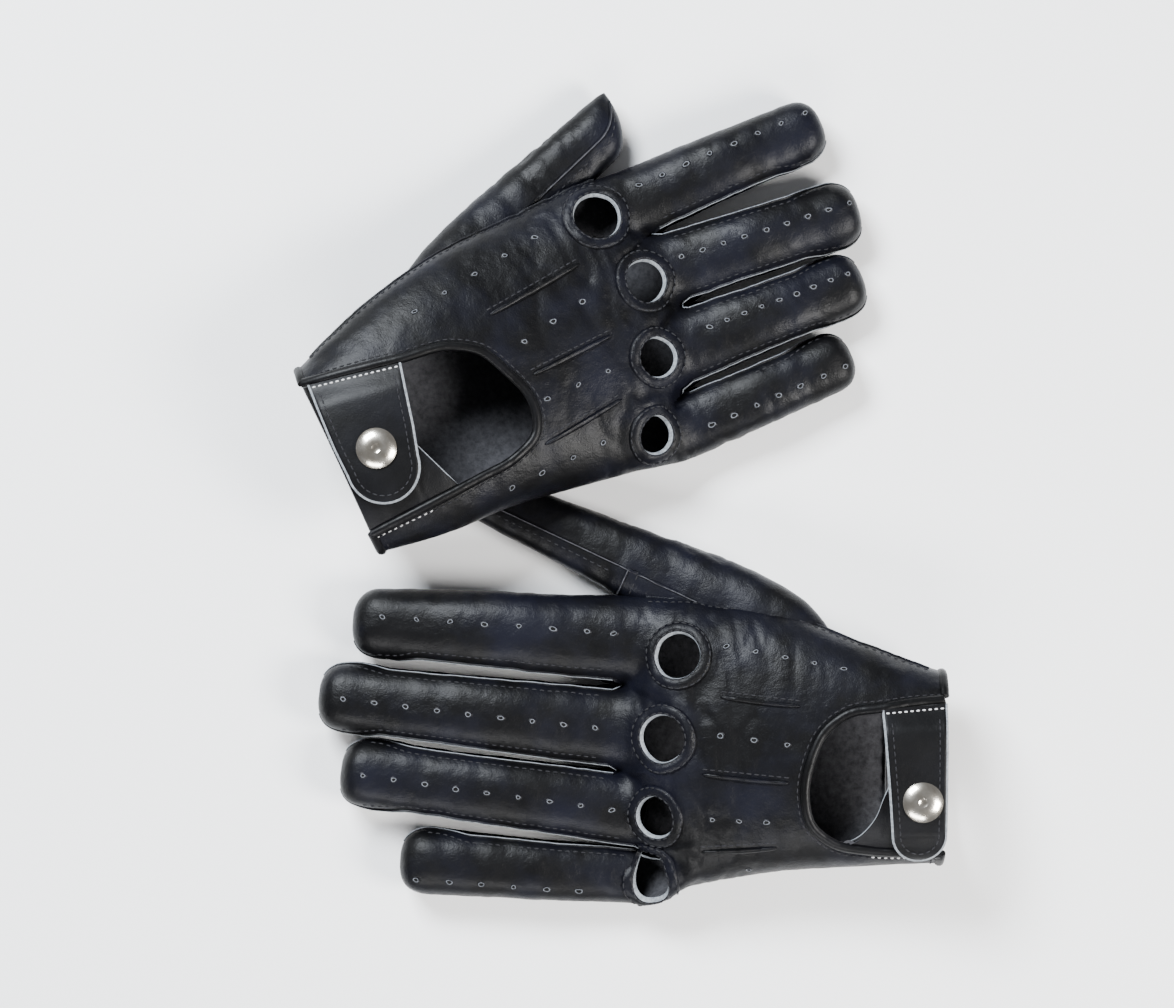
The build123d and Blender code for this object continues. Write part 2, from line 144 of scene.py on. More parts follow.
right = Glove()
right.name = "right"
right.side = 1
right.origin = (-96.8, 15.3)
right.heading = 25.0
right.cuff = -1.0
right.sections = [
    (-6.0, -34.0, 33.0, 18.5, 50.5),
    (24.0, -38.5, 44.0, 15.0, 50.5),
    (46.0, -39.5, 49.5, 9.5, 47.0),
    (72.0, -43.5, 52.5, 0.4, 40.0),
    (100.0, -48.0, 52.8, 0.1, 32.0),
    (142.0, -51.5, 52.3, 0.1, 21.0),
]
right.root_line = [(132.5, 52.0), (134.6, 25.9), (133.8, -0.6), (120.3, -28.2), (115.0, -50.0)]
right.stalls = [
    Stall("index", (133.5, 38.9), (190.5, 37.4), 12.5, 11.3, (-1,), 2.0, (8, 0, 64, 5.0)),
    Stall("middle", (134.5, 12.7), (189.5, 5.7), 12.8, 11.5, (1, -1), 2.5, (9, 2, 64, 2.2)),
    Stall("ring", (127.2, -14.4), (181.0, -18.0), 13.2, 11.0, (1, -1), 2.2, (9, 8, 60, 3.2)),
    Stall("little", (117.8, -39.9), (166.4, -41.2), 11.2, 10.6, (1,), 1.6, (7, 4, 55, -3.0)),
]
right.thumb = Stall("thumb", (62.0, 44.5), (127.2, 65.9), 14.0, 10.7, (), 0.0, None)
right.thumb.heel = 30.0
right.thumb.point = 1.2
right.thumb.reach = 1.26
right.thumb.slant = 0.89
right.thumb.cross_seam = None
right.thumb_bend = 53.0
right.side_knuckle = None
right.knuckles = [(115.9, 39.8, 8.6), (121.5, 12.1, 7.8), (114.4, -13.9, 7.3), (102.3, -38.1, 7.0)]
right.notch = [
    (-1.0, 28.8), (16.0, 25.5), (33.0, 22.0), (50.0, 19.0), (58.0, 14.0), (64.0, 3.0),
    (67.5, -10.0), (64.0, -20.0), (54.0, -24.5), (40.0, -25.5), (20.0, -26.5), (-1.0, -27.5),
]
right.strap = dict(root=((0.3, 27.8), (33.0, 21.3)), end=(10.8, -21.5), widths=(16.6, 14.4, 12.8))
right.underlap = [(-0.8, 8.0), (20.0, 8.0), (25.0, -4.0), (33.0, -25.0)]
right.tucks = [
    ((67.0, 23.6), (103.4, 27.1)), ((71.9, -1.5), (103.0, -0.2)), ((65.5, -25.1), (96.7, -21.9)),
]
right.hole_rows = [
    ((93.0, 42.0), (44.3, 35.4), 5), ((98.4, 14.8), (74.3, 10.2), 3),
    ((96.4, -11.0), (73.3, -11.0), 3), ((84.3, -32.8), (49.1, -33.7), 4),
]
right.snap = (13.0, -2.0)

left = Glove()
left.name = "left"
left.side = -1
left.origin = (108.0, -96.7)
left.heading = 179.0
left.cuff = -3.0
left.sections = [
    (-8.0, -28.0, 36.5, 8.0, 41.5),
    (20.0, -30.0, 46.0, 5.0, 41.5),
    (50.0, -32.5, 57.5, 0.1, 39.0),
    (82.0, -38.5, 61.5, 0.1, 34.0),
    (100.0, -42.5, 62.8, 0.1, 29.5),
    (122.0, -46.0, 63.2, 0.1, 25.0),
]
left.root_line = [(111.0, 63.0), (111.8, 31.2), (112.8, 1.6), (101.3, -26.0), (107.5, -45.0)]
left.stalls = [
    Stall("index", (112.0, 47.4), (191.3, 51.3), 15.3, 12.3, (-1,), 2.0, (8, -3, 81, 2.3)),
    Stall("middle", (112.5, 16.3), (203.0, 24.8), 14.2, 12.1, (1, -1), 3.0, (9, 5, 94, -0.6)),
    Stall("ring", (107.2, -12.4), (195.0, -1.9), 13.0, 11.9, (1, -1), 2.5, (9, 4, 92, -0.5)),
    Stall("little", (100.0, -36.2), (173.8, -32.4), 9.8, 11.7, (1,), 1.5, (6, 22, 79, -6.2)),
]
left.thumb = Stall("thumb", (50.0, 50.0), (154.5, 95.0), 17.0, 8.8, (), 0.0, None)
left.thumb.heel = 17.0
left.thumb.point = 0.9
left.thumb.reach = 1.2
left.thumb.slant = 0.3
left.thumb.cross_seam = 60.0
left.thumb_bend = 74.0
left.knuckles = [(89.7, 42.5, 8.4), (94.4, 13.4, 8.6), (96.0, -14.3, 7.6), (97.0, -37.6, 6.8)]
left.side_knuckle = left.knuckles[3]    # this one sits on the outer side of the hand
left.notch = [
    (-3.0, 28.6), (10.0, 27.0), (19.0, 25.2), (30.0, 23.0), (38.0, 16.5), (42.5, 6.0),
    (44.0, -5.0), (41.5, -15.0), (34.0, -21.0), (22.0, -23.3), (8.0, -24.0), (-3.0, -24.3),
]
left.strap = dict(root=((-4.0, 27.8), (18.8, 25.4)), end=(4.6, -27.5), widths=(11.5, 10.3, 9.6))
left.underlap = [(-2.8, 4.0), (12.5, 4.5), (17.1, -3.8), (20.5, -12.6), (26.0, -19.0), (33.5, -22.5)]
left.tucks = [((46.7, 25.8), (74.7, 28.5)), ((50.0, -0.9), (80.5, 1.4)), ((53.5, -23.7), (80.1, -25.9))]
left.hole_rows = [
    ((72.6, 46.0), (31.8, 39.0), 5), ((74.1, 15.2), (51.0, 12.4), 3),
    ((76.4, -14.3), (57.8, -14.7), 3), ((63.1, -31.9), (63.1, -31.9), 1),
]
left.snap = (4.3, -6.2)


# ---- numbers ---------------------------------------------------------------------------
def ease(x):
    x = np.clip(x, 0.0, 1.0)
    return x * x * (3 - 2 * x)


def spline(x, xs, ys):
    """Smooth curve through points, evaluated at x; ys may hold several columns."""
    xs = np.asarray(xs, float)
    ys = np.asarray(ys, float)
    x = np.asarray(x, float)
    slope = np.gradient(ys, xs, axis=0)
    i = np.clip(np.searchsorted(xs, x) - 1, 0, len(xs) - 2)
    step = xs[i + 1] - xs[i]
    t = np.clip((x - xs[i]) / step, 0, 1)
    if ys.ndim > 1:
        t = t[..., None]
        step = step[..., None]
    h00 = 2 * t**3 - 3 * t**2 + 1
    h10 = t**3 - 2 * t**2 + t
    h01 = -2 * t**3 + 3 * t**2
    h11 = t**3 - t**2
    return h00 * ys[i] + h10 * step * slope[i] + h01 * ys[i + 1] + h11 * step * slope[i + 1]


def curve_through(points, count):
    """Smooth curve through points in any dimension, at even steps along its length."""
    points = np.asarray(points, float)
    knots = np.concatenate([[0], np.cumsum(np.linalg.norm(np.diff(points, axis=0), axis=1))])
    fine = spline(np.linspace(0, knots[-1], 40 * len(points)), knots, points)
    return resample(fine, count)


def resample(points, count):
    run = np.concatenate([[0], np.cumsum(np.linalg.norm(np.diff(points, axis=0), axis=1))])
    even = np.linspace(0, run[-1], count)
    return np.stack([np.interp(even, run, points[:, k]) for k in range(points.shape[1])], axis=1)


def path_length(points):
    return float(np.sum(np.linalg.norm(np.diff(points, axis=0), axis=1)))


def unit(vectors):
    return vectors / np.maximum(np.linalg.norm(vectors, axis=-1, keepdims=True), 1e-9)


def signed_power(x, power):
    return np.sign(x) * np.abs(x) ** power


def to_row(glove, points):
    """Glove frame in millimetres to the row frame in metres."""
    points = np.asarray(points, float).reshape(-1, 3)
    turn = math.radians(glove.heading)
    x = points[:, 0]
    y = glove.side * points[:, 1]
    out = np.empty_like(points)
    out[:, 0] = glove.origin[0] + x * math.cos(turn) - y * math.sin(turn)
    out[:, 1] = glove.origin[1] + x * math.sin(turn) + y * math.cos(turn)
    out[:, 2] = points[:, 2]
    return out * MM


# ---- form of a glove -------------------------------------------------------------------
def section(glove, u):
    """Lowest and highest v, and lowest and highest z, of the hand at u."""
    table = np.array(glove.sections)
    return np.moveaxis(spline(u, table[:, 0], table[:, 1:]), -1, 0)


def loop_angle(glove, u, v):
    """Angle on the hand's cross-section: -90 at the thumb side, 0 on top, 90 at the little side."""
    v_low, v_high, z_low, z_high = section(glove, u)
    share = np.clip(((v_low + v_high) / 2 - v) / ((v_high - v_low) / 2), -1, 1)
    return np.degrees(np.arcsin(signed_power(share, HAND_POWER / 2)))


def loop_point(glove, u, angle, half):
    """Point of the hand's cross-section, on the back (half 1) or the palm (half -1)."""
    v_low, v_high, z_low, z_high = section(glove, u)
    a = np.radians(angle)
    v = (v_low + v_high) / 2 - (v_high - v_low) / 2 * signed_power(np.sin(a), 2 / HAND_POWER)
    rise = np.abs(np.cos(a)) ** (2 / HAND_POWER)
    z = (z_low + z_high) / 2 + half * (z_high - z_low) / 2 * rise
    return np.stack(np.broadcast_arrays(u, v, z), axis=-1)


def stall_point(stall, x, angle, scale=1.0, flatten=FLATTEN, grow=0.0):
    """Point on a stall: x along it, angle round it from the top towards the little finger."""
    x = np.asarray(x, float)
    part = np.clip(x / stall.length, 0, 1)
    radius = stall.root_radius + (stall.tip_radius - stall.root_radius) * part
    centre = radius * flatten + 0.5 + stall.arch * np.sin(np.pi * part) ** 2
    radius = radius * scale + grow
    a = np.radians(angle)
    side = radius * signed_power(np.sin(a), 2 / STALL_POWER)
    z = centre + flatten * radius * signed_power(np.cos(a), 2 / STALL_POWER)
    u = stall.root[0] + x * stall.along[0] + side * stall.across[0]
    v = stall.root[1] + x * stall.along[1] + side * stall.across[1]
    return np.stack(np.broadcast_arrays(u, v, z), axis=-1)


def stall_axis(stall, x, flatten=FLATTEN):
    """Point on a stall's middle line."""
    part = np.clip(np.asarray(x, float) / stall.length, 0, 1)
    radius = stall.root_radius + (stall.tip_radius - stall.root_radius) * part
    centre = radius * flatten + 0.5 + stall.arch * np.sin(np.pi * part) ** 2
    u = stall.root[0] + x * stall.along[0]
    v = stall.root[1] + x * stall.along[1]
    return np.stack(np.broadcast_arrays(u, v, centre), axis=-1)


def hand_column(glove, index, s, t, half):
    """Point of one finger's share of the hand: s from cuff to root, t across from -1 to 1."""
    stall = glove.stalls[index]
    ends = []
    for corner in (index, index + 1):
        root_u, root_v = glove.root_line[corner]
        u = glove.cuff + s * (root_u - glove.cuff)
        if corner in (0, 4):
            angle = np.full_like(u, -90.0 if corner == 0 else 90.0)
        else:
            low, high = section(glove, np.array(root_u))[:2]
            share = (root_v - low) / (high - low)
            low, high = section(glove, np.array(glove.cuff))[:2]
            start = low + share * (high - low)
            angle = loop_angle(glove, u, start + s * (root_v - start))
        ends.append((u, angle))
    mix = (t + 1) / 2
    u = ends[0][0] * (1 - mix) + ends[1][0] * mix
    angle = ends[0][1] * (1 - mix) + ends[1][1] * mix
    on_hand = loop_point(glove, u, angle, half)
    round_angle = 90.0 * t if half > 0 else 180.0 - 90.0 * t
    side = stall.root_radius * signed_power(np.sin(np.radians(round_angle)), 2 / STALL_POWER)
    x = (u - stall.root[0] - side * stall.across[0]) / stall.along[0]
    on_stall = stall_point(stall, x, round_angle)
    root_u = glove.root_line[index][0] * (1 - mix) + glove.root_line[index + 1][0] * mix
    near = ease(1 - (root_u - u) / WEB)
    inner_edge = (t > 0) & (index < 3) | (t < 0) & (index > 0)
    sharpen = 1 + 1.6 * np.where(inner_edge, np.abs(t) ** 5, 0.0)
    weight = (near**sharpen)[..., None]
    return on_hand * (1 - weight) + on_stall * weight, x


def hand_grid(glove, half):
    """Outer surface of the back (half 1) or the palm (half -1) as one grid of points."""
    s = np.linspace(0, 1, HAND_ROWS + 1)[:, None]
    t = np.linspace(-1, 1, COLUMN + 1)[None, :]
    s, t = np.broadcast_arrays(s, t)
    total = np.zeros((HAND_ROWS + 1, 4 * COLUMN + 1, 3))
    times = np.zeros(4 * COLUMN + 1)
    starts = []
    for index in range(4):
        points, x = hand_column(glove, index, s, t, half)
        columns = slice(index * COLUMN, (index + 1) * COLUMN + 1)
        total[:, columns] += points
        times[columns] += 1
        starts.append(x[-1])
    return total / times[None, :, None], starts


def grid_normals(points, inner):
    """Unit normals of a grid, pointing away from the inner points."""
    down = np.gradient(points, axis=0)
    along = np.gradient(points, axis=1)
    normal = unit(np.cross(down, along))
    flip = np.sign(np.sum(normal * (points - inner), axis=-1, keepdims=True))
    return normal * np.where(flip == 0, 1, flip)


def hand_middle(glove, points):
    """Points inside the hand, from which its surface faces outwards."""
    v_low, v_high, z_low, z_high = section(glove, points[..., 0])
    middle = np.stack([points[..., 0], points[..., 1], (z_low + z_high) / 2], axis=-1)
    inward = 0.75
    middle[..., 1] = (v_low + v_high) / 2 * (1 - inward) + points[..., 1] * inward
    return middle


def noise_at(points, size, seed=0.0, stretch=(1, 1, 1)):
    scale = np.array(stretch, float) / size
    flat = points.reshape(-1, 3) * scale + seed
    values = [noise.noise(Vector(p)) for p in flat]
    return np.array(values).reshape(points.shape[:-1])


def wrinkle(glove, points, fingers=0.0):
    """Displacement of worn leather: broad slackness, and creases across the glove's length."""
    seed = 11.0 if glove.side > 0 else 47.0
    broad = 0.55 * noise_at(points, 26.0, seed)
    middle = 0.38 * noise_at(points, 9.0, seed + 5, (1.5, 0.7, 1.0))
    crease = np.abs(noise_at(points, 11.0, seed + 9, (1.7, 0.45, 0.8)))
    crease = -0.42 * np.exp(-((crease / 0.10) ** 2))
    u = points[..., 0]
    knuckle = np.exp(-(((u - glove.root_line[1][0] + 26) / 26.0) ** 2))
    cuff = np.exp(-((u - glove.cuff) / 16.0))
    gather = 0.9 * noise_at(points, 6.5, seed + 20, (0.25, 1.2, 1.0))
    gather = gather * cuff * (np.abs(points[..., 1]) > 26)
    middle = middle * (0.5 + 0.9 * knuckle + 0.5 * fingers)
    return broad + middle + crease * (0.35 + knuckle) + gather


def knuckle_bumps(glove, points):
    bump = np.zeros(points.shape[:-1])
    for u, v, _ in glove.knuckles:
        away = (points[..., 0] - u) ** 2 + (points[..., 1] - v) ** 2
        bump += 1.5 * np.exp(-away / (2 * 10.0**2))
    return bump


# ---- mesh building ---------------------------------------------------------------------
class Mesher:
    """Collects grids and rings of one piece, in a glove's own frame."""

    def __init__(self, glove):
        self.glove = glove
        self.points = []
        self.faces = []
        self.slots = []
        self.count = 0

    def grid(self, points, inner, slot=0, closed=False, keep=None):
        """Adds a rows x columns grid; slot may be a list with one entry per column."""
        rows, columns = points.shape[:2]
        world = to_row(self.glove, points)
        middle = to_row(self.glove, np.broadcast_to(inner, points.shape))
        index = np.arange(rows * columns).reshape(rows, columns)
        if closed:
            index = np.concatenate([index, index[:, :1]], axis=1)
        a, b = index[:-1, :-1], index[:-1, 1:]
        c, d = index[1:, 1:], index[1:, :-1]
        quads = np.stack([a, b, c, d], axis=-1)
        wide = quads.shape[1]
        flat = quads.reshape(-1, 4)
        corners = world[flat].transpose(1, 0, 2)
        normal = np.cross(corners[2] - corners[0], corners[3] - corners[1])
        centre = world[flat].mean(axis=1)
        if np.sum(normal * (centre - middle[flat].mean(axis=1))) < 0:
            flat = flat[:, ::-1]
        slots = np.tile(np.broadcast_to(np.asarray(slot), (wide,)), rows - 1)
        if keep is not None:
            flat = flat[keep.reshape(-1)]
            slots = slots[keep.reshape(-1)]
        self.points.append(world)
        self.faces.extend((flat + self.count).tolist())
        self.slots.extend(slots.tolist())
        self.count += len(world)

    def cap(self, ring):
        """Closes a ring of points with one face."""
        world = to_row(self.glove, ring)
        self.points.append(world)
        self.faces.append(list(range(self.count, self.count + len(world))))
        self.slots.append(0)
        self.count += len(world)

    def sweep(self, path, normals, profile, slot=0):
        """Sweeps a closed profile of (side, out) points along a path, and caps both ends."""
        tangent = unit(np.gradient(path, axis=0))
        normals = unit(normals - tangent * np.sum(normals * tangent, axis=1, keepdims=True))
        side = np.cross(tangent, normals)
        profile = np.asarray(profile, float)
        if profile.ndim == 2:
            profile = np.broadcast_to(profile, (len(path),) + profile.shape)
        points = path[:, None] + side[:, None] * profile[..., :1] + normals[:, None] * profile[..., 1:]
        inner = np.broadcast_to(points.mean(axis=1, keepdims=True), points.shape)
        self.grid(points, inner, slot, closed=True)
        self.cap(points[0])
        self.cap(points[-1][::-1])

    def build(self, name, materials, sharp=50.0):
        name = f"{self.glove.name}_{name}"
        mesh = bpy.data.meshes.new(name)
        mesh.from_pydata(np.concatenate(self.points).tolist(), [], self.faces)
        for material in materials:
            mesh.materials.append(material)
        mesh.polygons.foreach_set("material_index", self.slots)
        mesh.polygons.foreach_set("use_smooth", [True] * len(mesh.polygons))
        piece = bpy.data.objects.new(name, mesh)
        bpy.context.scene.collection.objects.link(piece)
        bm = bmesh.new()
        bm.from_mesh(mesh)
        bmesh.ops.remove_doubles(bm, verts=bm.verts, dist=0.00002)
        loose = [v for v in bm.verts if not v.link_faces]
        bmesh.ops.delete(bm, geom=loose, context="VERTS")
        bm.to_mesh(mesh)
        bm.free()
        mesh.set_sharp_from_angle(angle=math.radians(sharp))
        mesh.update()
        return piece

    def make(self, name, materials, node=None, thickness=0.0, follow=None,
             sharp=50.0):
        """Builds a piece that rides on the hand, or else is handed to follow, which only bakes its
        transform; it hides the CAD node it stands for, if any.
        """
        piece = self.build(name, materials, sharp)
        if thickness:
            thicken(piece, thickness)
        if follow:
            follow(piece)
        else:
            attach(piece, hand_body(self.glove))
        if node:
            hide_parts(f"{self.glove.name}_{node}")


def hand_body(glove):
    return f"{glove.name}_hand"


def thicken(piece, thickness):
    """Gives a leather surface its thickness, with a raw cut edge and a flesh side."""
    solid = piece.modifiers.new("thickness", "SOLIDIFY")
    solid.thickness = thickness * MM
    solid.offset = -1
    solid.material_offset_rim = 1
    solid.material_offset = 2
    solid.use_quality_normals = True
    bpy.context.view_layer.update()
    depsgraph = bpy.context.evaluated_depsgraph_get()
    mesh = bpy.data.meshes.new_from_object(piece.evaluated_get(depsgraph))
    piece.modifiers.clear()
    old = piece.data
    piece.data = mesh
    bpy.data.meshes.remove(old)
    mesh.name = piece.name
    mesh.set_sharp_from_angle(angle=math.radians(50))


def lay_stitches(mesher, centres, along, normals, length, radius):
    """Lays one small rounded stitch at each centre."""
    shape = [(-0.5, 0.25), (-0.38, 0.85), (0.0, 1.0), (0.38, 0.85), (0.5, 0.25)]
    angles = np.arange(6)[:, None] * 2 * np.pi / 6
    for centre, direction, normal in zip(centres, along, normals):
        direction = unit(direction)
        normal = unit(normal - direction * np.dot(normal, direction))
        side = np.cross(direction, normal)
        rings = []
        for place, width in shape:
            sag = -0.7 * radius * (2 * abs(place)) ** 2
            middle = centre + direction * place * length + normal * sag
            rings.append(middle + radius * width * (np.cos(angles) * side + np.sin(angles) * normal))
        mesher.grid(np.array(rings), centre, closed=True)


def stitch_run(mesher, path, normals, kind):
    """Stitches at even steps along a path."""
    step, length, radius, lift = STITCHES[kind]
    count = max(2, int(path_length(path) / step))
    joined = resample(np.concatenate([path, normals], axis=1), 2 * count + 1)
    points = joined[:, :3]
    out = unit(joined[:, 3:])
    along = unit(np.gradient(points, axis=0))
    odd = slice(1, None, 2)
    lay_stitches(mesher, points[odd] + out[odd] * lift, along[odd], out[odd], length, radius)


# ---- materials -------------------------------------------------------------------------
def new_material(name):
    material = bpy.data.materials.new(name)
    material.use_nodes = True
    tree = material.node_tree
    shader = tree.nodes["Principled BSDF"]
    coordinates = tree.nodes.new("ShaderNodeTexCoord")
    return material, tree, shader, coordinates.outputs["Object"]


def add_noise(tree, vector, scale, detail=4.0, roughness=0.55):
    node = tree.nodes.new("ShaderNodeTexNoise")
    node.inputs["Scale"].default_value = scale
    node.inputs["Detail"].default_value = detail
    node.inputs["Roughness"].default_value = roughness
    tree.links.new(vector, node.inputs["Vector"])
    return node.outputs["Fac"]


def add_ramp(tree, value, stops):
    node = tree.nodes.new("ShaderNodeValToRGB")
    while len(node.color_ramp.elements) < len(stops):
        node.color_ramp.elements.new(0.5)
    for element, (place, color) in zip(node.color_ramp.elements, stops):
        element.position = place
        element.color = (*color, 1.0)
    tree.links.new(value, node.inputs["Fac"])
    return node.outputs["Color"]


def add_range(tree, value, low, high):
    node = tree.nodes.new("ShaderNodeMapRange")
    node.inputs["To Min"].default_value = low
    node.inputs["To Max"].default_value = high
    tree.links.new(value, node.inputs["Value"])
    return node.outputs["Result"]


def add_bump(tree, height, strength, distance, normal=None):
    node = tree.nodes.new("ShaderNodeBump")
    node.inputs["Strength"].default_value = strength
    node.inputs["Distance"].default_value = distance
    tree.links.new(height, node.inputs["Height"])
    if normal is not None:
        tree.links.new(normal, node.inputs["Normal"])
    return node.outputs["Normal"]


def add_cells(tree, vector, scale):
    node = tree.nodes.new("ShaderNodeTexVoronoi")
    node.feature = "DISTANCE_TO_EDGE"
    node.inputs["Scale"].default_value = scale
    tree.links.new(vector, node.inputs["Vector"])
    return node.outputs["Distance"]


def leather_material(name, dark, light, rough, grain, crease):
    """Black nappa: fine pores, crinkles, and faint bluish patches at random, partly a painted sheen."""
    material, tree, shader, place = new_material(name)
    tone_and_sheen = add_noise(tree, place, 38.0, 4.0)
    # the light end of this ramp is a painted bluish sheen, laid in random patches
    color = add_ramp(tree, tone_and_sheen, [(0.42, dark), (0.66, light)])
    tree.links.new(color, shader.inputs["Base Color"])
    wear = add_noise(tree, place, 90.0, 5.0)
    tree.links.new(add_range(tree, wear, rough - 0.07, rough + 0.12), shader.inputs["Roughness"])
    shader.inputs["Coat Weight"].default_value = 0.03
    shader.inputs["Coat Roughness"].default_value = 0.38
    shader.inputs["Specular IOR Level"].default_value = 0.13
    pores = add_cells(tree, place, 1150.0)
    bumped = add_bump(tree, pores, grain, 0.00012)
    crinkle = add_noise(tree, place, 230.0, 6.0, 0.62)
    bumped = add_bump(tree, crinkle, crease, 0.0006, bumped)
    fold = add_noise(tree, place, 75.0, 3.0, 0.5)
    bumped = add_bump(tree, fold, crease * 0.6, 0.0012, bumped)
    tree.links.new(bumped, shader.inputs["Normal"])
    return material


def fibre_material(name, dark, light, scale, rough=0.9):
    """Undyed cut edge, flesh side or thread, and also painted glints and painted hole shade: rough,
    fibrous and matt.
    """
    material, tree, shader, place = new_material(name)
    fibre = add_noise(tree, place, scale, 6.0, 0.7)
    tree.links.new(add_ramp(tree, fibre, [(0.3, dark), (0.7, light)]), shader.inputs["Base Color"])
    shader.inputs["Roughness"].default_value = rough
    shader.inputs["Specular IOR Level"].default_value = 0.12
    tree.links.new(add_bump(tree, fibre, 0.5, 0.0003), shader.inputs["Normal"])
    return material


def metal_material():
    """Polished nickel with faint handling scratches and a warm cast."""
    material, tree, shader, place = new_material("nickel")
    haze = add_noise(tree, place, 260.0, 4.0)
    tint = add_ramp(tree, haze, [(0.35, (0.70, 0.64, 0.54)), (0.7, (0.86, 0.82, 0.74))])
    tree.links.new(tint, shader.inputs["Base Color"])
    shader.inputs["Metallic"].default_value = 1.0
    tree.links.new(add_range(tree, haze, 0.13, 0.26), shader.inputs["Roughness"])
    scratch = add_noise(tree, place, 1800.0, 2.0)
    tree.links.new(add_bump(tree, scratch, 0.06, 0.0001), shader.inputs["Normal"])
    return material


def elastic_material():
    """Ribbed woven elastic."""
    material, tree, shader, place = new_material("elastic")
    wave = tree.nodes.new("ShaderNodeTexWave")
    wave.inputs["Scale"].default_value = 420.0
    wave.inputs["Distortion"].default_value = 0.6
    tree.links.new(place, wave.inputs["Vector"])
    ribs = wave.outputs["Fac"]
    color = add_ramp(tree, ribs, [(0.2, (0.02, 0.02, 0.022)), (0.8, (0.07, 0.07, 0.075))])
    tree.links.new(color, shader.inputs["Base Color"])
    shader.inputs["Roughness"].default_value = 0.85
    tree.links.new(add_bump(tree, ribs, 0.5, 0.0003), shader.inputs["Normal"])
    return material


BLACK = (0.0016, 0.0016, 0.002)
# second colour of each leather: lighter bluish patches, partly a painted sheen
LEATHER_MAT = leather_material("black_nappa", BLACK, (0.004, 0.0044, 0.0085), 0.38, 0.6, 0.6)
BINDING_MAT = leather_material(
    "binding_nappa", (0.001, 0.001, 0.0012), (0.003, 0.003, 0.004), 0.38, 0.3, 0.35
)
STRAP_MAT = leather_material("strap_nappa", BLACK, (0.004, 0.0042, 0.006), 0.42, 0.4, 0.3)
RAW_MAT = fibre_material("raw_edge", (0.09, 0.10, 0.115), (0.31, 0.33, 0.35), 900.0)
WORN_MAT = fibre_material("worn_seam", (0.02, 0.02, 0.024), (0.09, 0.09, 0.10), 500.0)
# pale rim of each hole: partly its cut edge, partly a painted glint
PUNCH_RIM_GLINT_MAT = fibre_material("punched_rim_and_glint", (0.03, 0.032, 0.038), (0.17, 0.18, 0.20), 1500.0)
FLESH_MAT = fibre_material("flesh_side", (0.022, 0.022, 0.025), (0.06, 0.06, 0.066), 420.0)
THREAD_MAT = fibre_material("black_thread", (0.006, 0.006, 0.007), (0.03, 0.03, 0.034), 2600.0, 0.6)
# pale thread: its whiteness is a painted glint, as the stitches catch the light
GLINT_THREAD_MAT = fibre_material("thread_with_painted_glint", (0.42, 0.42, 0.43), (0.72, 0.72, 0.72), 2600.0, 0.7)
# near-black disc in each hole: painted shade standing in for the hole's depth
HOLE_SHADE_MAT = fibre_material("painted_hole_shade", (0.002, 0.002, 0.002), (0.006, 0.006, 0.006), 900.0)
METAL_MAT = metal_material()
ELASTIC_MAT = elastic_material()
# Each set: outer side, cut edge, flesh side.
LEATHER_SET = [LEATHER_MAT, RAW_MAT, FLESH_MAT]
WORN_SET = [*LEATHER_SET, WORN_MAT]
BINDING_SET = [BINDING_MAT, RAW_MAT, FLESH_MAT]
STRAP_SET = [STRAP_MAT, RAW_MAT, FLESH_MAT]


# ---- surface of a glove, for whatever is sewn onto it -----------------------------------
class Surface:
    """Outer surface made of grids, on which points are found by casting rays."""

    def __init__(self, *grids, cuff=-math.inf):
        self.cuff = cuff
        vertices = []
        quads = []
        for points in grids:
            rows, columns = points.shape[:2]
            index = np.arange(rows * columns).reshape(rows, columns) + len(vertices)
            around = [index[:-1, :-1], index[:-1, 1:], index[1:, 1:], index[1:, :-1]]
            quads.extend(np.stack(around, axis=-1).reshape(-1, 4).tolist())
            vertices.extend(Vector(p) for p in points.reshape(-1, 3))
        self.tree = BVHTree.FromPolygons(vertices, quads)

    def hit(self, start, direction, reach=90.0):
        """First point met from start, or else the nearest to where the ray was aimed."""
        place, normal = self.tree.ray_cast(Vector(start), Vector(direction))[:2]
        if place is None:
            aim = Vector(start) + reach * Vector(direction)
            place, normal = self.tree.find_nearest(aim)[:2]
        normal = np.array(normal)
        if np.dot(normal, direction) > 0:
            normal = -normal
        return np.array(place), normal

    def below(self, plan):
        """Points and normals under plan points (u, v); off the cuff, those at its edge."""
        found = [self.hit((max(u, self.cuff + 0.1), v, ABOVE), (0, 0, -1)) for u, v in plan]
        return np.array([f[0] for f in found]), np.array([f[1] for f in found])


def inside_outline(plan, outline):
    """Which plan points lie inside a closed outline."""
    x, y = plan[..., 0], plan[..., 1]
    inside = np.zeros(x.shape, bool)
    ahead = np.roll(outline, -1, axis=0)
    for (x0, y0), (x1, y1) in zip(outline, ahead):
        crosses = (y0 > y) != (y1 > y)
        with np.errstate(divide="ignore", invalid="ignore"):
            at = x0 + (y - y0) * (x1 - x0) / (y1 - y0)
        inside ^= crosses & (x < at)
    return inside


def face_centres(points):
    return (points[:-1, :-1] + points[:-1, 1:] + points[1:, 1:] + points[1:, :-1]) / 4


# ---- pieces of the hand ----------------------------------------------------------------
def finish_side(glove, half):
    """Outer surface of the back or the palm, creased, and where its stalls start."""
    points, starts = hand_grid(glove, half)
    normal = grid_normals(points, hand_middle(glove, points))
    shift = wrinkle(glove, points)
    if half > 0:
        shift = shift + knuckle_bumps(glove, points)
    else:
        shift = np.minimum(shift, points[..., 2] - 0.05) * 0.6
    edge = np.abs(np.linspace(-1, 1, points.shape[1]))[None, :]
    shift = shift * (1 - 0.8 * ease((edge - 0.93) / 0.07))
    rows = np.linspace(0, 1, points.shape[0])[:, None]
    shift = shift * (1 - ease((rows - 0.93) / 0.07))
    points = points + normal * shift[..., None]
    if half < 0:
        points[..., 2] = np.maximum(points[..., 2], 0.0)
    return points, starts


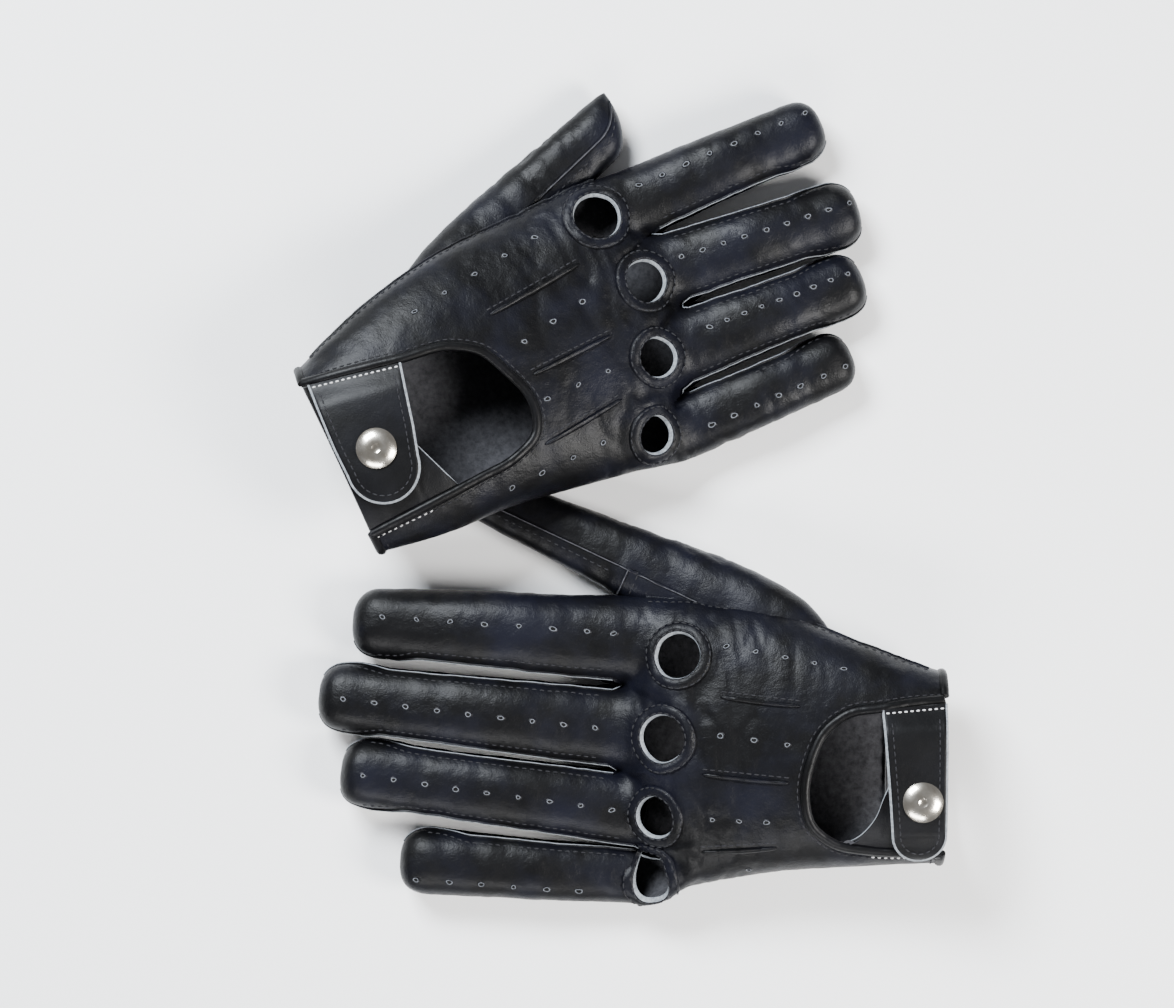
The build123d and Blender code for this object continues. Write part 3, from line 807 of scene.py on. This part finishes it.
def make_form(glove):
    """Works out the finished outer surfaces that all pieces of a glove share."""
    glove.notch_curve = curve_through(glove.notch, 150)
    glove.back, glove.starts = finish_side(glove, 1)
    glove.palm = finish_side(glove, -1)[0]
    for column in (0, -1):
        glove.palm[:, column] = glove.back[:, column]
    little = stall_patch(glove, 3, lambda x: -100.0, lambda x: 190.0, 60)[0]
    glove.surface = Surface(glove.back, glove.palm, little, cuff=glove.cuff)
    glove.knuckle_axes = []
    for u, v, radius in glove.knuckles:
        place = glove.surface.hit((u, v, ABOVE), (0, 0, -1))[0]
        around = []
        for angle in np.linspace(0, 2 * np.pi, 12, endpoint=False):
            probe = (u + 5 * math.cos(angle), v + 5 * math.sin(angle), ABOVE)
            around.append(glove.surface.hit(probe, (0, 0, -1), ABOVE - place[2] + 4.0)[1])
        axis = unit(np.mean(around, axis=0))
        if (u, v, radius) == glove.side_knuckle:
            axis = unit(np.array([0.25, -0.75, 0.6]))
        glove.knuckle_axes.append((place, axis, radius))


def in_knuckle_holes(glove, centres):
    """Which face centres lie in a knuckle hole."""
    cut = np.zeros(centres.shape[:2], bool)
    for place, axis, radius in glove.knuckle_axes:
        offset = centres - place
        along = np.sum(offset * axis, axis=-1)
        away = np.linalg.norm(offset - along[..., None] * axis, axis=-1)
        cut |= (away < radius + HOLE_GROW) & (np.abs(along) < HOLE_DEPTH)
    return cut


def make_panels(glove):
    """Back with its opening and knuckle holes, and palm."""
    outside = glove.notch_curve[:, 0].min() - 10
    first, last = glove.notch[0][1], glove.notch[-1][1]
    outline = np.concatenate([[[outside, first]], glove.notch_curve, [[outside, last]]])
    outline = outline + unit(outline - OPENING_MIDDLE) * 0.9
    for side, points in (("back", glove.back), ("palm", glove.palm)):
        centres = face_centres(points)
        cut = in_knuckle_holes(glove, centres)
        if side == "back":
            cut |= inside_outline(centres[..., :2], outline) & (centres[..., 2] > 25)
        mesher = Mesher(glove)
        mesher.grid(points, hand_middle(glove, points), keep=~cut)
        mesher.make(f"{side}_leather", LEATHER_SET, f"{side}_panel", LEATHER)


def make_rings(glove, thread):
    """Raised rings sewn round the knuckle holes, with their pale cut edge inside."""
    mesher = Mesher(glove)
    for place, axis, radius in glove.knuckle_axes:
        first = unit(np.cross(axis, (0, 1, 0)))
        second = np.cross(axis, first)
        loops = []
        outs = []
        for angle in np.linspace(0, 2 * np.pi, 72, endpoint=False):
            way = math.cos(angle) * first + math.sin(angle) * second
            line = []
            for offset, height in RING_PROFILE:
                start = place + way * (radius + offset) + axis * 18
                hit, normal = glove.surface.hit(start, -axis, 20.0)
                out = unit(normal * 0.4 + axis * 0.6)
                line.append(hit + out * height)
            loops.append(line)
            outs.append(out)
        points = np.array(loops)
        for _ in range(3):
            points = (np.roll(points, 1, axis=0) + 2 * points + np.roll(points, -1, axis=0)) / 4
        points = np.concatenate([points, points[:1]])
        mesher.grid(points, place - axis * 30, slot=[1] + [0] * (len(RING_PROFILE) - 2))
        for column in (2, 5):
            stitch_run(thread, points[:, column], np.array(outs + outs[:1]), "ring")
    mesher.make("knuckle_rings_sewn", LEATHER_SET, "knuckle_rings", RING_LEATHER)


def lobe(width, height, count, rise=0.0):
    """Closed round profile for a rolled binding or a raised tuck."""
    angles = np.linspace(0, 2 * np.pi, count, endpoint=False)
    return np.stack([width * np.cos(angles), height * np.sin(angles) + rise], axis=1)


def make_bindings(glove, thread):
    """Rolled bindings round the opening on the back and round the cuff."""
    outline = glove.notch_curve
    away = unit(outline - OPENING_MIDDLE)
    mesher = Mesher(glove)
    mesher.sweep(*glove.surface.below(outline + away * 0.7), lobe(1.75, 1.35, 12, 0.05))
    mesher.make("rolled_opening_binding", BINDING_SET, "opening_binding")
    beyond = (outline + away * 3.3)[3:-3]
    stitch_run(thread, *glove.surface.below(beyond), "opening")

    gap_from, gap_to = glove.notch[0][1], glove.notch[-1][1]
    top = glove.back[0]
    under = glove.palm[0][::-1]
    loop = np.concatenate([top[top[:, 1] < gap_to], under[1:], top[top[:, 1] > gap_from]])
    loop = curve_through(loop[::3], 150)
    v_low, v_high, z_low, z_high = section(glove, np.array(glove.cuff))
    outward = loop - np.array([glove.cuff, (v_low + v_high) / 2, (z_low + z_high) / 2])
    outward[:, 0] = 0
    mesher = Mesher(glove)
    mesher.sweep(loop + unit(outward) * -0.4, outward, lobe(1.7, 1.45, 10))
    mesher.make("rolled_cuff_binding", BINDING_SET, "cuff_binding")
    row = loop + unit(outward) * 0.15
    row[:, 0] += 3.0
    stitch_run(thread, row[4:-4], outward[4:-4], "cuff")


def make_crotches(glove):
    """Raw seam edges that join the fingers' seams round each gap between them."""
    mesher = Mesher(glove)
    normals = grid_normals(glove.back, hand_middle(glove, glove.back))
    reach = COLUMN / 2 * (1 - SEAM_ANGLE / 90)
    for index in (1, 2, 3):
        columns = np.linspace(-reach, reach, 33)
        rows = HAND_ROWS - CROTCH_ROWS * (1 - (columns / reach) ** 2)
        columns = columns + index * COLUMN
        row, column = np.floor(rows).astype(int), np.floor(columns).astype(int)
        row = np.minimum(row, HAND_ROWS - 1)
        a, b = (rows - row)[:, None], (columns - column)[:, None]

        def sample(grid):
            near = grid[row, column] * (1 - b) + grid[row, column + 1] * b
            far = grid[row + 1, column] * (1 - b) + grid[row + 1, column + 1] * b
            return near * (1 - a) + far * a

        path, out = sample(glove.back), sample(normals)
        out[:, 2] += 0.8
        free = np.ones(len(path), bool)
        for place, _, radius in glove.knuckle_axes:
            free &= np.linalg.norm(path - place, axis=1) > radius + RING_WIDTH
        mesher.sweep(path[free], unit(out[free]), SEAM_EDGE, slot=[0, 0, 1, 0, 0, 0])
    mesher.make("gap_seams", LEATHER_SET)


def make_side_seam(glove, thread):
    """Seam along the thumb side, where the back is joined to the palm."""
    normals = grid_normals(glove.back, hand_middle(glove, glove.back))
    rows = slice(4, HAND_ROWS - 8)
    path, out = glove.back[rows, SIDE_SEAM], normals[rows, SIDE_SEAM]
    mesher = Mesher(glove)
    mesher.sweep(path, out, 0.75 * np.array(SEAM_EDGE), slot=[0, 0, 3, 0, 0, 0])
    mesher.make("side_seam", WORN_SET)
    stitch_run(thread, glove.back[rows, SIDE_SEAM + 2], normals[rows, SIDE_SEAM + 2], "seam")


def make_elastic(glove):
    """Gathered elastic tape across the inside of the wrist."""
    start = glove.cuff + 12.0
    rows = np.linspace(start, start + 6.0, 9)
    u, angle = np.meshgrid(rows, np.linspace(-80, 80, 120), indexing="ij")
    points = loop_point(glove, u, angle, -1)
    inward = unit(hand_middle(glove, points) - points)
    ripple = 1.55 + 0.25 * np.sin(np.radians(angle) * 55)
    points = points + inward * ripple[..., None]
    mesher = Mesher(glove)
    mesher.grid(points, hand_middle(glove, points))
    mesher.make("wrist_elastic_tape", [ELASTIC_MAT] * 3, "wrist_elastic", 0.6)


def make_tucks(glove, thread):
    """The three raised points on the back, each a folded ridge sewn along one foot."""
    mesher = Mesher(glove)
    fade = np.sin(np.linspace(0, np.pi, 40)) ** 0.35
    profile = np.maximum(lobe(1.25, 1.15, 10, 0.1) * fade[:, None, None], -0.6)
    for start, end in glove.tucks:
        plan = np.linspace(start, end, 40)
        mesher.sweep(*glove.surface.below(plan), profile)
        along = unit(np.array(end) - np.array(start))
        beside = plan - 1.9 * np.array([along[1], -along[0]])
        stitch_run(thread, *glove.surface.below(beside), "tuck")
    mesher.make("raised_points", LEATHER_SET)


def make_perforations(glove, name, places, normals, alongs, seed, follow=None):
    """Small punched holes: a puckered rim, pale partly as cut edge and partly as a painted glint, round
    a slightly sunken disc of painted shade.
    """
    random = np.random.default_rng(seed)
    mesher = Mesher(glove)
    sides = 10
    angles = np.linspace(0, 2 * np.pi, sides, endpoint=False)
    for place, normal, along in zip(places, normals, alongs):
        along = unit(along - normal * np.dot(along, normal))
        side = np.cross(normal, along)
        wobble = 1 + 0.38 * random.standard_normal(sides)
        wobble = (np.roll(wobble, 1) + wobble * 2 + np.roll(wobble, -1)) / 4
        rings = []
        for radius, height, own in PUNCH_RINGS:
            reach = radius * (1 + (wobble - 1) * own)
            ring = place + normal * height
            ring = ring + (np.cos(angles) * reach)[:, None] * along * 1.15
            ring = ring + (np.sin(angles) * reach)[:, None] * side * 0.85
            rings.append(ring)
        points = np.array(rings).transpose(1, 0, 2)
        points = np.concatenate([points, points[:1]])
        # inner bands: a slightly sunken disc of painted hole shade; the band round it is the pale rim,
        # partly a painted glint
        mesher.grid(points, place - normal * 5, slot=[0, 1, 2, 2])
    mesher.make(name, [LEATHER_MAT, PUNCH_RIM_GLINT_MAT, HOLE_SHADE_MAT], follow=follow, sharp=70.0)


def make_hand_holes(glove):
    """The rows of perforations on the back."""
    plan = np.concatenate([np.linspace(start, end, count) for start, end, count in glove.hole_rows])
    alongs = [np.array([1.0, 0.05, 0.0])] * len(plan)
    make_perforations(glove, "hand_perforations", *glove.surface.below(plan), alongs, 5)


# ---- strap, underlap and stud ----------------------------------------------------------
def strap_plan(glove, inset, rows):
    """Rows of plan points across the strap, from its root to its round end."""
    (near, far), end = glove.strap["root"], np.array(glove.strap["end"], float)
    near, far = np.array(near, float), np.array(far, float)
    middle = (near + far) / 2
    reach = np.linalg.norm(end - middle)
    along = (end - middle) / reach
    cross = unit(far - near)
    square = np.array([-along[1], along[0]])
    if np.dot(square, cross) < 0:
        square = -square
    wide, half, narrow = glove.strap["widths"]      # each half the strap's width
    end_radius = narrow - inset
    bend = reach - narrow
    straight = np.linspace(0, bend, rows // 2)
    turn = bend + end_radius * np.sin(np.linspace(0, np.pi / 2, rows - rows // 2 + 1)[1:])
    places = np.concatenate([straight, turn])
    width = np.interp(places, [0, 0.5 * reach, bend], [wide, half, narrow]) - inset
    past = np.clip((places - bend) / end_radius, 0, 1)
    width = width * np.sqrt(np.maximum(1 - past**2, 0.0009))
    swing = ease(places / (0.45 * reach))[:, None]
    direction = unit(cross * (1 - swing) + square * swing)
    return middle + along * places[:, None], direction, width, places


def strap_surface(glove, inset, lift, rows=60, columns=25):
    """Grid over the back where the strap lies, smoothed, and lifted off it past its root."""
    centre, direction, width, places = strap_plan(glove, inset, rows)
    share = np.linspace(-1, 1, columns)
    plan = centre[:, None] + direction[:, None] * (width[:, None] * share)[..., None]
    points = glove.surface.below(plan.reshape(-1, 2))[0].reshape(rows, columns, 3)
    points[..., :2] = plan
    smooth = points[..., 2].copy()
    for _ in range(12):
        padded = np.pad(smooth, 1, mode="edge")
        smooth = (padded[:-2, 1:-1] + padded[2:, 1:-1] + padded[1:-1, :-2] + padded[1:-1, 2:]) / 4
    points[..., 2] = smooth
    rise = ease(places / 9.0)
    points[..., 2] += (0.9 + (lift - 0.9) * rise)[:, None]
    return points


def strap_lift(glove):
    """Height of the strap's top over the smoothed back, so that it meets the stud's cap."""
    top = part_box(f"{glove.name}_snap_cap")[1][2] / MM - CAP_HEIGHT
    plan = strap_surface(glove, 0.0, 0.9, 40, 21).reshape(-1, 3)
    near = np.argmin(np.hypot(plan[:, 0] - glove.snap[0], plan[:, 1] - glove.snap[1]))
    return top - (plan[near, 2] - 0.9)


def rim(grid):
    """The border of a grid, all the way round."""
    return np.concatenate([grid[:, 0], grid[-1, 1:], grid[::-1, -1][1:], grid[0, ::-1][1:]])


def make_strap(glove):
    """Strap of two leathers that opens at its sewn root, with its stitching."""
    lift = strap_lift(glove)
    down = np.array([0, 0, 5.0])

    def follow(piece):
        blend_strap(piece, glove)

    def plate(name, node, upper, lower):
        mesher = Mesher(glove)
        mesher.grid(upper, upper - down)
        mesher.grid(lower, lower + down, slot=2)
        wall = np.stack([rim(upper), rim(lower)], axis=1)
        mesher.grid(wall, np.broadcast_to(upper.mean(axis=(0, 1)), wall.shape), slot=1)
        mesher.make(name, STRAP_SET, node, follow=follow)

    # The top leather flares towards its foot, and the lining lies just below it.
    outer, skirt = strap_surface(glove, 0.75, lift), strap_surface(glove, 0.0, lift - 0.85)
    lining, base = strap_surface(glove, 0.25, lift - 0.87), strap_surface(glove, 0.1, lift - 1.62)
    plate("strap_top", "strap", outer, skirt)
    plate("strap_under", "strap_lining", lining, base)

    thread = Mesher(glove)
    inner = strap_surface(glove, 3.0, lift)
    path = np.concatenate([inner[3:, 0], inner[-1, 1:], inner[::-1, -1][1:-3]])
    stitch_run(thread, path, np.broadcast_to([0, 0, 1.0], path.shape), "strap")
    thread.make("strap_thread", [THREAD_MAT], follow=follow)

    # pale stitches at the strap's root: painted glint
    pale = Mesher(glove)
    root = strap_surface(glove, 0.9, lift)[1]
    stitch_run(pale, root, np.broadcast_to([0, 0.3, 1.0], root.shape), "strap_root")
    pale.make("strap_root_thread", [GLINT_THREAD_MAT])


def blend_strap(piece, glove):
    """Bakes a strap piece's transform; the points just past its sewn root that it works out are not
    used.
    """
    (near, far), end = glove.strap["root"], np.array(glove.strap["end"], float)
    middle = (np.array(near) + np.array(far)) / 2
    along = unit(end - middle)
    height = glove.sections[0][4]
    start = to_row(glove, [*(middle + along * 0.5), height])[0]
    finish = to_row(glove, [*(middle + along * 7.0), height])[0]
    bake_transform(piece)


def make_underlap(glove, thread):
    """Tab below the strap's end, from its free edge to the opening's binding."""
    columns = 18
    edge = curve_through(glove.underlap, 40)
    outline = glove.notch_curve[::-1]
    stop = np.argmin(np.linalg.norm(outline - edge[-1], axis=1)) + 1
    sewn = resample(outline[:stop], 40)
    share = np.linspace(0, 1, columns)[None, :, None]
    plan = edge[:, None] * (1 - share) + sewn[:, None] * share
    plan[:-4, 1] = edge[:-4] + unit(sewn - edge)[:-4] * 0.55
    points = glove.surface.below(plan.reshape(-1, 2))[0].reshape(-1, columns, 3)
    points[..., 2] -= 0.35
    points[:-4, 0, 2] -= 0.45
    mesher = Mesher(glove)
    mesher.grid(points, points - np.array([0, 0, 5.0]), slot=[1] + [0] * (columns - 2))
    mesher.make("underlap_leather", STRAP_SET, "underlap_tab", LEATHER)
    # pale stitches along the opening: painted glint
    pale = Mesher(glove)
    line = outline[: int(0.7 * stop)]
    line = resample(line + unit(line - OPENING_MIDDLE) * 2.9, 30)
    points, normals = glove.surface.below(line)
    stitch_run(pale, points[2:], normals[2:], "underlap")
    pale.make("underlap_thread", [GLINT_THREAD_MAT])


def finish_stud(glove):
    """The CAD's press stud keeps its shape and gets its metal."""
    for part in ("cap", "socket", "stud", "rivet"):
        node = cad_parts[f"{glove.name}_snap_{part}"]
        node.data.materials.clear()
        node.data.materials.append(METAL_MAT)
        node.data.polygons.foreach_set("use_smooth", [True] * len(node.data.polygons))


# ---- fingers ---------------------------------------------------------------------------
def tip_shape(stall, angle):
    """Size of the cross-section and way past the tip's centre, at an angle round the tip."""
    a = math.radians(angle)
    scale = math.cos(a) ** (2 / TIP_POWER) if angle < 90 else 0.0
    return max(scale, 0.02), stall.tip_radius * math.sin(a) ** (2 / TIP_POWER)


def stall_patch(glove, index, low, high, columns):
    """Grid over a stall between two angles, each a function of x along the stall."""
    stall = glove.stalls[index]
    own = slice(index * COLUMN, (index + 1) * COLUMN + 1)
    start_x = glove.starts[index]
    angles_known = np.linspace(-90, 90, COLUMN + 1)
    fix_top = glove.back[-1, own] - stall_point(stall, start_x, angles_known)
    fix_low = glove.palm[-1, own] - stall_point(stall, start_x, 180 - angles_known)
    share = np.linspace(0, 1, columns + 1)

    def place(x_share, tip_angle):
        """One row, which starts from the hand's own edge, and its points on the axis."""
        x_end = x_share * stall.length
        angle = low(x_end) * (1 - share) + high(x_end) * share
        turned = (angle + 180) % 360 - 180
        under = np.abs(turned) > 90
        folded = np.where(under, np.sign(turned) * 180 - turned, turned)
        begin = np.interp(folded, angles_known, start_x)
        x = begin + (stall.length - begin) * x_share
        scale, reach = tip_shape(stall, tip_angle)
        points = stall_point(stall, x + 0 * angle, angle, scale)
        if tip_angle > 0:
            points[..., :2] += reach * stall.along
        decay = ease(1 - (x - begin) / 12.0)[:, None] if tip_angle == 0 else 0.0
        fix = np.empty_like(points)
        for k in range(3):
            top = np.interp(folded, angles_known, fix_top[:, k])
            bottom = np.interp(folded, angles_known, fix_low[:, k])
            fix[:, k] = np.where(under, bottom, top)
        return points + fix * decay, stall_axis(stall, x)

    stations = [(x_share, 0.0) for x_share in np.linspace(0, 1, STALL_ROWS + 1)]
    stations += [(1.0, tip_angle) for tip_angle in np.linspace(0, 90, TIP_ROWS + 1)[1:]]
    points, middles = zip(*[place(*station) for station in stations])
    return np.array(points), np.array(middles)


def crease_stall(glove, points, middles):
    """Slack leather folds on a stall, none at its root line and none at its pole."""
    normal = grid_normals(points, middles)
    shift = wrinkle(glove, points, 1.0)
    rows = np.linspace(0, 1, points.shape[0])[:, None]
    shift = shift * ease(rows / 0.1) * (1 - ease((rows - 0.9) / 0.1))
    return points + normal * shift[..., None] * 0.8


def seam_angle(stall):
    """Angle of the upper seam along the stall: it closes towards the tip."""

    def angle(x):
        close = ease((x - (stall.length - 13.0)) / 13.0)
        return SEAM_ANGLE + (TIP_SEAM_ANGLE - SEAM_ANGLE) * close

    return angle


def blend_finger(piece, glove, index):
    stall = glove.stalls[index]
    start_x = float(np.max(glove.starts[index])) + 0.3
    start = to_row(glove, stall_axis(stall, start_x))[0]
    end = to_row(glove, stall_axis(stall, start_x + FINGER_BEND))[0]
    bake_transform(piece)


def make_finger(glove, index):
    """Back and palm strips, side walls, raw seams between them, thread and perforations."""
    stall = glove.stalls[index]
    upper = seam_angle(stall)
    at_thumb = 1 in stall.walls
    at_little = -1 in stall.walls

    def follow(piece):
        blend_finger(piece, glove, index)

    def back_low(x):
        return -upper(x) if at_thumb else -NO_WALL_ANGLE

    def back_high(x):
        return upper(x) if at_little else NO_WALL_ANGLE

    def palm_low(x):
        return 180 - upper(x) if at_little else NO_WALL_ANGLE

    def palm_high(x):
        return 180 + upper(x) if at_thumb else 360 - NO_WALL_ANGLE

    strips = {}
    for side, low, high in (("back", back_low, back_high), ("palm", palm_low, palm_high)):
        points, middles = stall_patch(glove, index, low, high, COLUMN)
        points = crease_stall(glove, points, middles)
        if side == "palm":
            points[..., 2] = np.maximum(points[..., 2], 0.05)
        strips[side] = points
        mesher = Mesher(glove)
        mesher.grid(points, middles)
        name = f"{stall.name}_{side}"
        mesher.make(f"{name}_strip", LEATHER_SET, name, STRIP_LEATHER, follow)

    walls = Mesher(glove)
    seams = Mesher(glove)
    thread = Mesher(glove)
    for side in stall.walls:
        if side < 0:
            low, high, back_edge, palm_edge, inset = upper, palm_low, -1, 0, -4
        else:
            low, high, back_edge, palm_edge, inset = palm_high, lambda x: 360 - upper(x), 0, -1, 3
        points, middles = stall_patch(glove, index, low, high, 8)
        inward = unit(middles - points)
        sink = 0.15 + 0.9 * np.sin(np.linspace(0, np.pi, 9))[None, :, None]
        points = points + inward * sink * ease(np.arange(len(points)) / 5.0)[:, None, None]
        walls.grid(points, middles)
        edges = (strips["back"][:, back_edge], strips["palm"][:, palm_edge])
        for edge, tilt in zip(edges, (0.55, -0.55)):
            edge = edge[: STALL_ROWS + TIP_ROWS - 2]
            out = unit(edge - middles[: len(edge), 0])
            out[:, 2] += tilt
            path = resample(np.concatenate([edge, unit(out)], axis=1), 70)
            fade = np.concatenate([np.ones(60), np.linspace(1, 0.35, 10)])
            profile = np.array(SEAM_EDGE)[None] * np.stack([np.ones(70), fade], axis=1)[:, None, :]
            seams.sweep(path[:, :3], path[:, 3:], profile, slot=[0, 0, 1, 0, 0, 0])
        rows = slice(2, STALL_ROWS + 2)
        line = strips["back"][rows, inset]
        stitch_run(thread, line, unit(line - middles[rows, 0]), "finger")
    name = f"{stall.name}_side_walls"
    walls.make(name, LEATHER_SET, f"{stall.name}_fourchettes", WALL_LEATHER, follow)
    seams.make(f"{stall.name}_seams", LEATHER_SET, follow=follow)
    thread.make(f"{stall.name}_thread", [THREAD_MAT], follow=follow)

    count, first, last, offset = stall.holes
    places, normals = [], []
    surface = Surface(strips["back"])
    for x in np.linspace(first, last, count):
        centre = stall_axis(stall, min(x, stall.length))
        centre[:2] += max(0.0, x - stall.length) * stall.along - offset * stall.across
        hit, normal = surface.hit((centre[0], centre[1], ABOVE), (0, 0, -1))
        places.append(hit)
        normals.append(normal)
    ways = [np.array([*stall.along, 0.0])] * count
    name = f"{stall.name}_perforations"
    make_perforations(glove, name, places, normals, ways, 3 + index, follow)


# ---- thumb -----------------------------------------------------------------------------
def thumb_rise(glove, x):
    """How far the thumb's axis rises above its resting height, to leave the hand's side."""
    thumb = glove.thumb
    centre = stall_axis(thumb, x, THUMB_FLATTEN)
    v_low, v_high, z_low, z_high = section(glove, centre[0])
    share = 1 - ease((x + thumb.heel) / (55.0 + thumb.heel))
    return float(max(0.0, (z_low + z_high) / 2 - centre[2]) * share)


def make_thumb(glove):
    """Thumb with a lengthwise seam: a base set into the hand, and its end as separate pieces."""
    thumb = glove.thumb
    columns = THUMB_COLUMNS
    x_rows = np.linspace(-0.98 * thumb.heel, thumb.length, THUMB_ROWS)
    tips = np.linspace(0, 88, 10)[1:]
    angles = np.linspace(-180, 180, columns + 1)
    rows, middles = [], []
    for x in x_rows:
        share = min(1.0, (x + thumb.heel) / (30.0 + thumb.heel))
        scale = math.sqrt(1 - (1 - share) ** 2)
        row = stall_point(thumb, np.full(columns + 1, x), angles, scale, THUMB_FLATTEN)
        middle = stall_axis(thumb, np.full(columns + 1, x), THUMB_FLATTEN)
        rise = thumb_rise(glove, x)
        row[:, 2] += rise
        middle[:, 2] += rise
        rows.append(row)
        middles.append(middle)
    end = np.full(columns + 1, thumb.length)
    for tip in tips:
        turn = math.radians(tip)
        scale = math.cos(turn) ** thumb.point
        points = stall_point(thumb, end, angles, scale, THUMB_FLATTEN)
        ahead = thumb.reach * thumb.tip_radius * math.sin(turn) * thumb.along
        points[:, :2] += ahead - thumb.slant * (1 - scale) * thumb.tip_radius * thumb.across
        rows.append(points)
        middles.append(stall_axis(thumb, end, THUMB_FLATTEN))
    points, middles = np.array(rows), np.array(middles)
    normal = grid_normals(points, middles)
    shift = 0.8 * wrinkle(glove, points, 1.0)
    share = np.linspace(0, 1, len(points))[:, None]
    shift = shift * (1 - ease((share - 0.92) / 0.08))
    points = points + normal * shift[..., None]
    points[..., 2] = np.maximum(points[..., 2], 0.05)
    points[:, -1] = points[:, 0]

    v_low, v_high, z_low, z_high = section(glove, points[..., 0])
    wide = np.abs(points[..., 1] - (v_low + v_high) / 2) / ((v_high - v_low) / 2)
    tall = np.abs(points[..., 2] - (z_low + z_high) / 2) / ((z_high - z_low) / 2)
    value = wide**HAND_POWER + tall**HAND_POWER
    outside = face_centres(value[..., None])[..., 0] > 0.93
    bend_row = int(np.searchsorted(x_rows, glove.thumb_bend - 11.0))

    def follow(piece):
        blend_thumb(piece, glove)

    base = Mesher(glove)
    base.grid(points[: bend_row + 1], middles[: bend_row + 1], keep=outside[:bend_row])
    base.make("thumb_base_leather", LEATHER_SET, "thumb_base", LEATHER)

    order = (np.arange(columns + 1) + THUMB_SEAM) % columns
    halves = {"back": order[: columns // 2 + 1], "front": order[columns // 2 :]}
    for half, picked in halves.items():
        mesher = Mesher(glove)
        mesher.grid(points[bend_row:, picked], middles[bend_row:, picked])
        name = f"thumb_{half}"
        mesher.make(f"{name}_leather", LEATHER_SET, name, LEATHER, follow)

    for label, first, last in (("base", 0, bend_row), ("end", bend_row, len(points) - 3)):
        seams = Mesher(glove)
        thread = Mesher(glove)
        line = points[first : last + 1, THUMB_SEAM]
        if label == "base":
            line = line[value[first : last + 1, THUMB_SEAM] > 1.0]
        out = unit(line - middles[first : last + 1, THUMB_SEAM][: len(line)])
        seams.sweep(line, out, FLAT_SEAM, slot=[0, 0, 3, 0, 0, 0])
        if label == "base" and thumb.cross_seam:
            row = int(np.searchsorted(x_rows, thumb.cross_seam))
            across = slice(THUMB_SEAM, THUMB_SEAM + columns // 3)
            cross_out = points[row, across] - middles[row, across]
            seams.sweep(points[row, across], cross_out, FLAT_SEAM, slot=[0, 0, 3, 0, 0, 0])
            stitch_run(thread, points[row - 2, across], cross_out, "seam")
        inset = points[first : last + 1, THUMB_SEAM + 2][: len(line)]
        stitch_run(thread, inset[1:], out[1:], "seam")
        follows = follow if label == "end" else None
        seams.make(f"thumb_{label}_seam", WORN_SET, follow=follows)
        thread.make(f"thumb_{label}_thread", [THREAD_MAT], follow=follows)


def blend_thumb(piece, glove):
    thumb = glove.thumb
    start = to_row(glove, stall_axis(thumb, glove.thumb_bend - THUMB_BEND, THUMB_FLATTEN))[0]
    end = to_row(glove, stall_axis(thumb, glove.thumb_bend + THUMB_BEND, THUMB_FLATTEN))[0]
    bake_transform(piece)


# ---- whole gloves ----------------------------------------------------------------------
for glove in (right, left):
    make_form(glove)
    make_panels(glove)
    hand_thread = Mesher(glove)
    make_rings(glove, hand_thread)
    make_bindings(glove, hand_thread)
    make_elastic(glove)
    make_tucks(glove, hand_thread)
    make_crotches(glove)
    make_side_seam(glove, hand_thread)
    make_hand_holes(glove)
    make_underlap(glove, hand_thread)
    make_strap(glove)
    finish_stud(glove)
    for index in range(4):
        make_finger(glove, index)
    make_thumb(glove)
    hand_thread.make("hand_thread", [THREAD_MAT])


# ---- floor, light and camera -----------------------------------------------------------
def make_floor():
    bpy.ops.mesh.primitive_plane_add(size=6.0, location=(0, 0, -0.0004))
    floor = bpy.context.object
    floor.name = "floor"
    material, tree, shader, place = new_material("pale_floor")
    tone = add_noise(tree, place, 3.0, 2.0)
    color = add_ramp(tree, tone, [(0.3, (0.93, 0.93, 0.935)), (0.7, (0.95, 0.95, 0.95))])
    tree.links.new(color, shader.inputs["Base Color"])
    shader.inputs["Roughness"].default_value = 0.9
    floor.data.materials.append(material)


def add_area(name, place, size, power, color=(1, 1, 1)):
    """Soft rectangular light aimed at the middle of the floor."""
    light = bpy.data.lights.new(name, "AREA")
    light.shape = "RECTANGLE"
    light.size, light.size_y = size
    light.energy = power
    light.color = color
    lamp = bpy.data.objects.new(name, light)
    bpy.context.scene.collection.objects.link(lamp)
    lamp.location = place
    lamp.rotation_euler = (-Vector(place)).to_track_quat("-Z", "Y").to_euler()


def make_camera():
    """Straight above the gloves, as in the photograph."""
    view_width = 0.4109
    distance = 1.5
    target = Vector((-0.0121, -0.0001, 0.02))
    camera = bpy.data.cameras.new("camera")
    camera.lens = camera.sensor_width * distance / view_width
    rig = bpy.data.objects.new("camera", camera)
    rig.location = target + Vector((0, 0, distance))
    bpy.context.scene.collection.objects.link(rig)
    bpy.context.scene.camera = rig


make_floor()
add_area("window", (-0.55, 0.75, 1.0), (0.6, 0.45), 56.0, (0.90, 0.95, 1.0))
add_area("fill", (0.95, -0.35, 0.9), (0.5, 0.5), 34.0, (1.0, 0.985, 0.96))
add_area("foot", (-0.2, -1.0, 0.8), (0.9, 0.3), 15.0)
world = bpy.data.worlds.new("studio")
world.use_nodes = True
sky = world.node_tree.nodes["Background"]
sky.inputs["Color"].default_value = (0.95, 0.96, 1.0, 1)
sky.inputs["Strength"].default_value = 0.22
bpy.context.scene.world = world
make_camera()
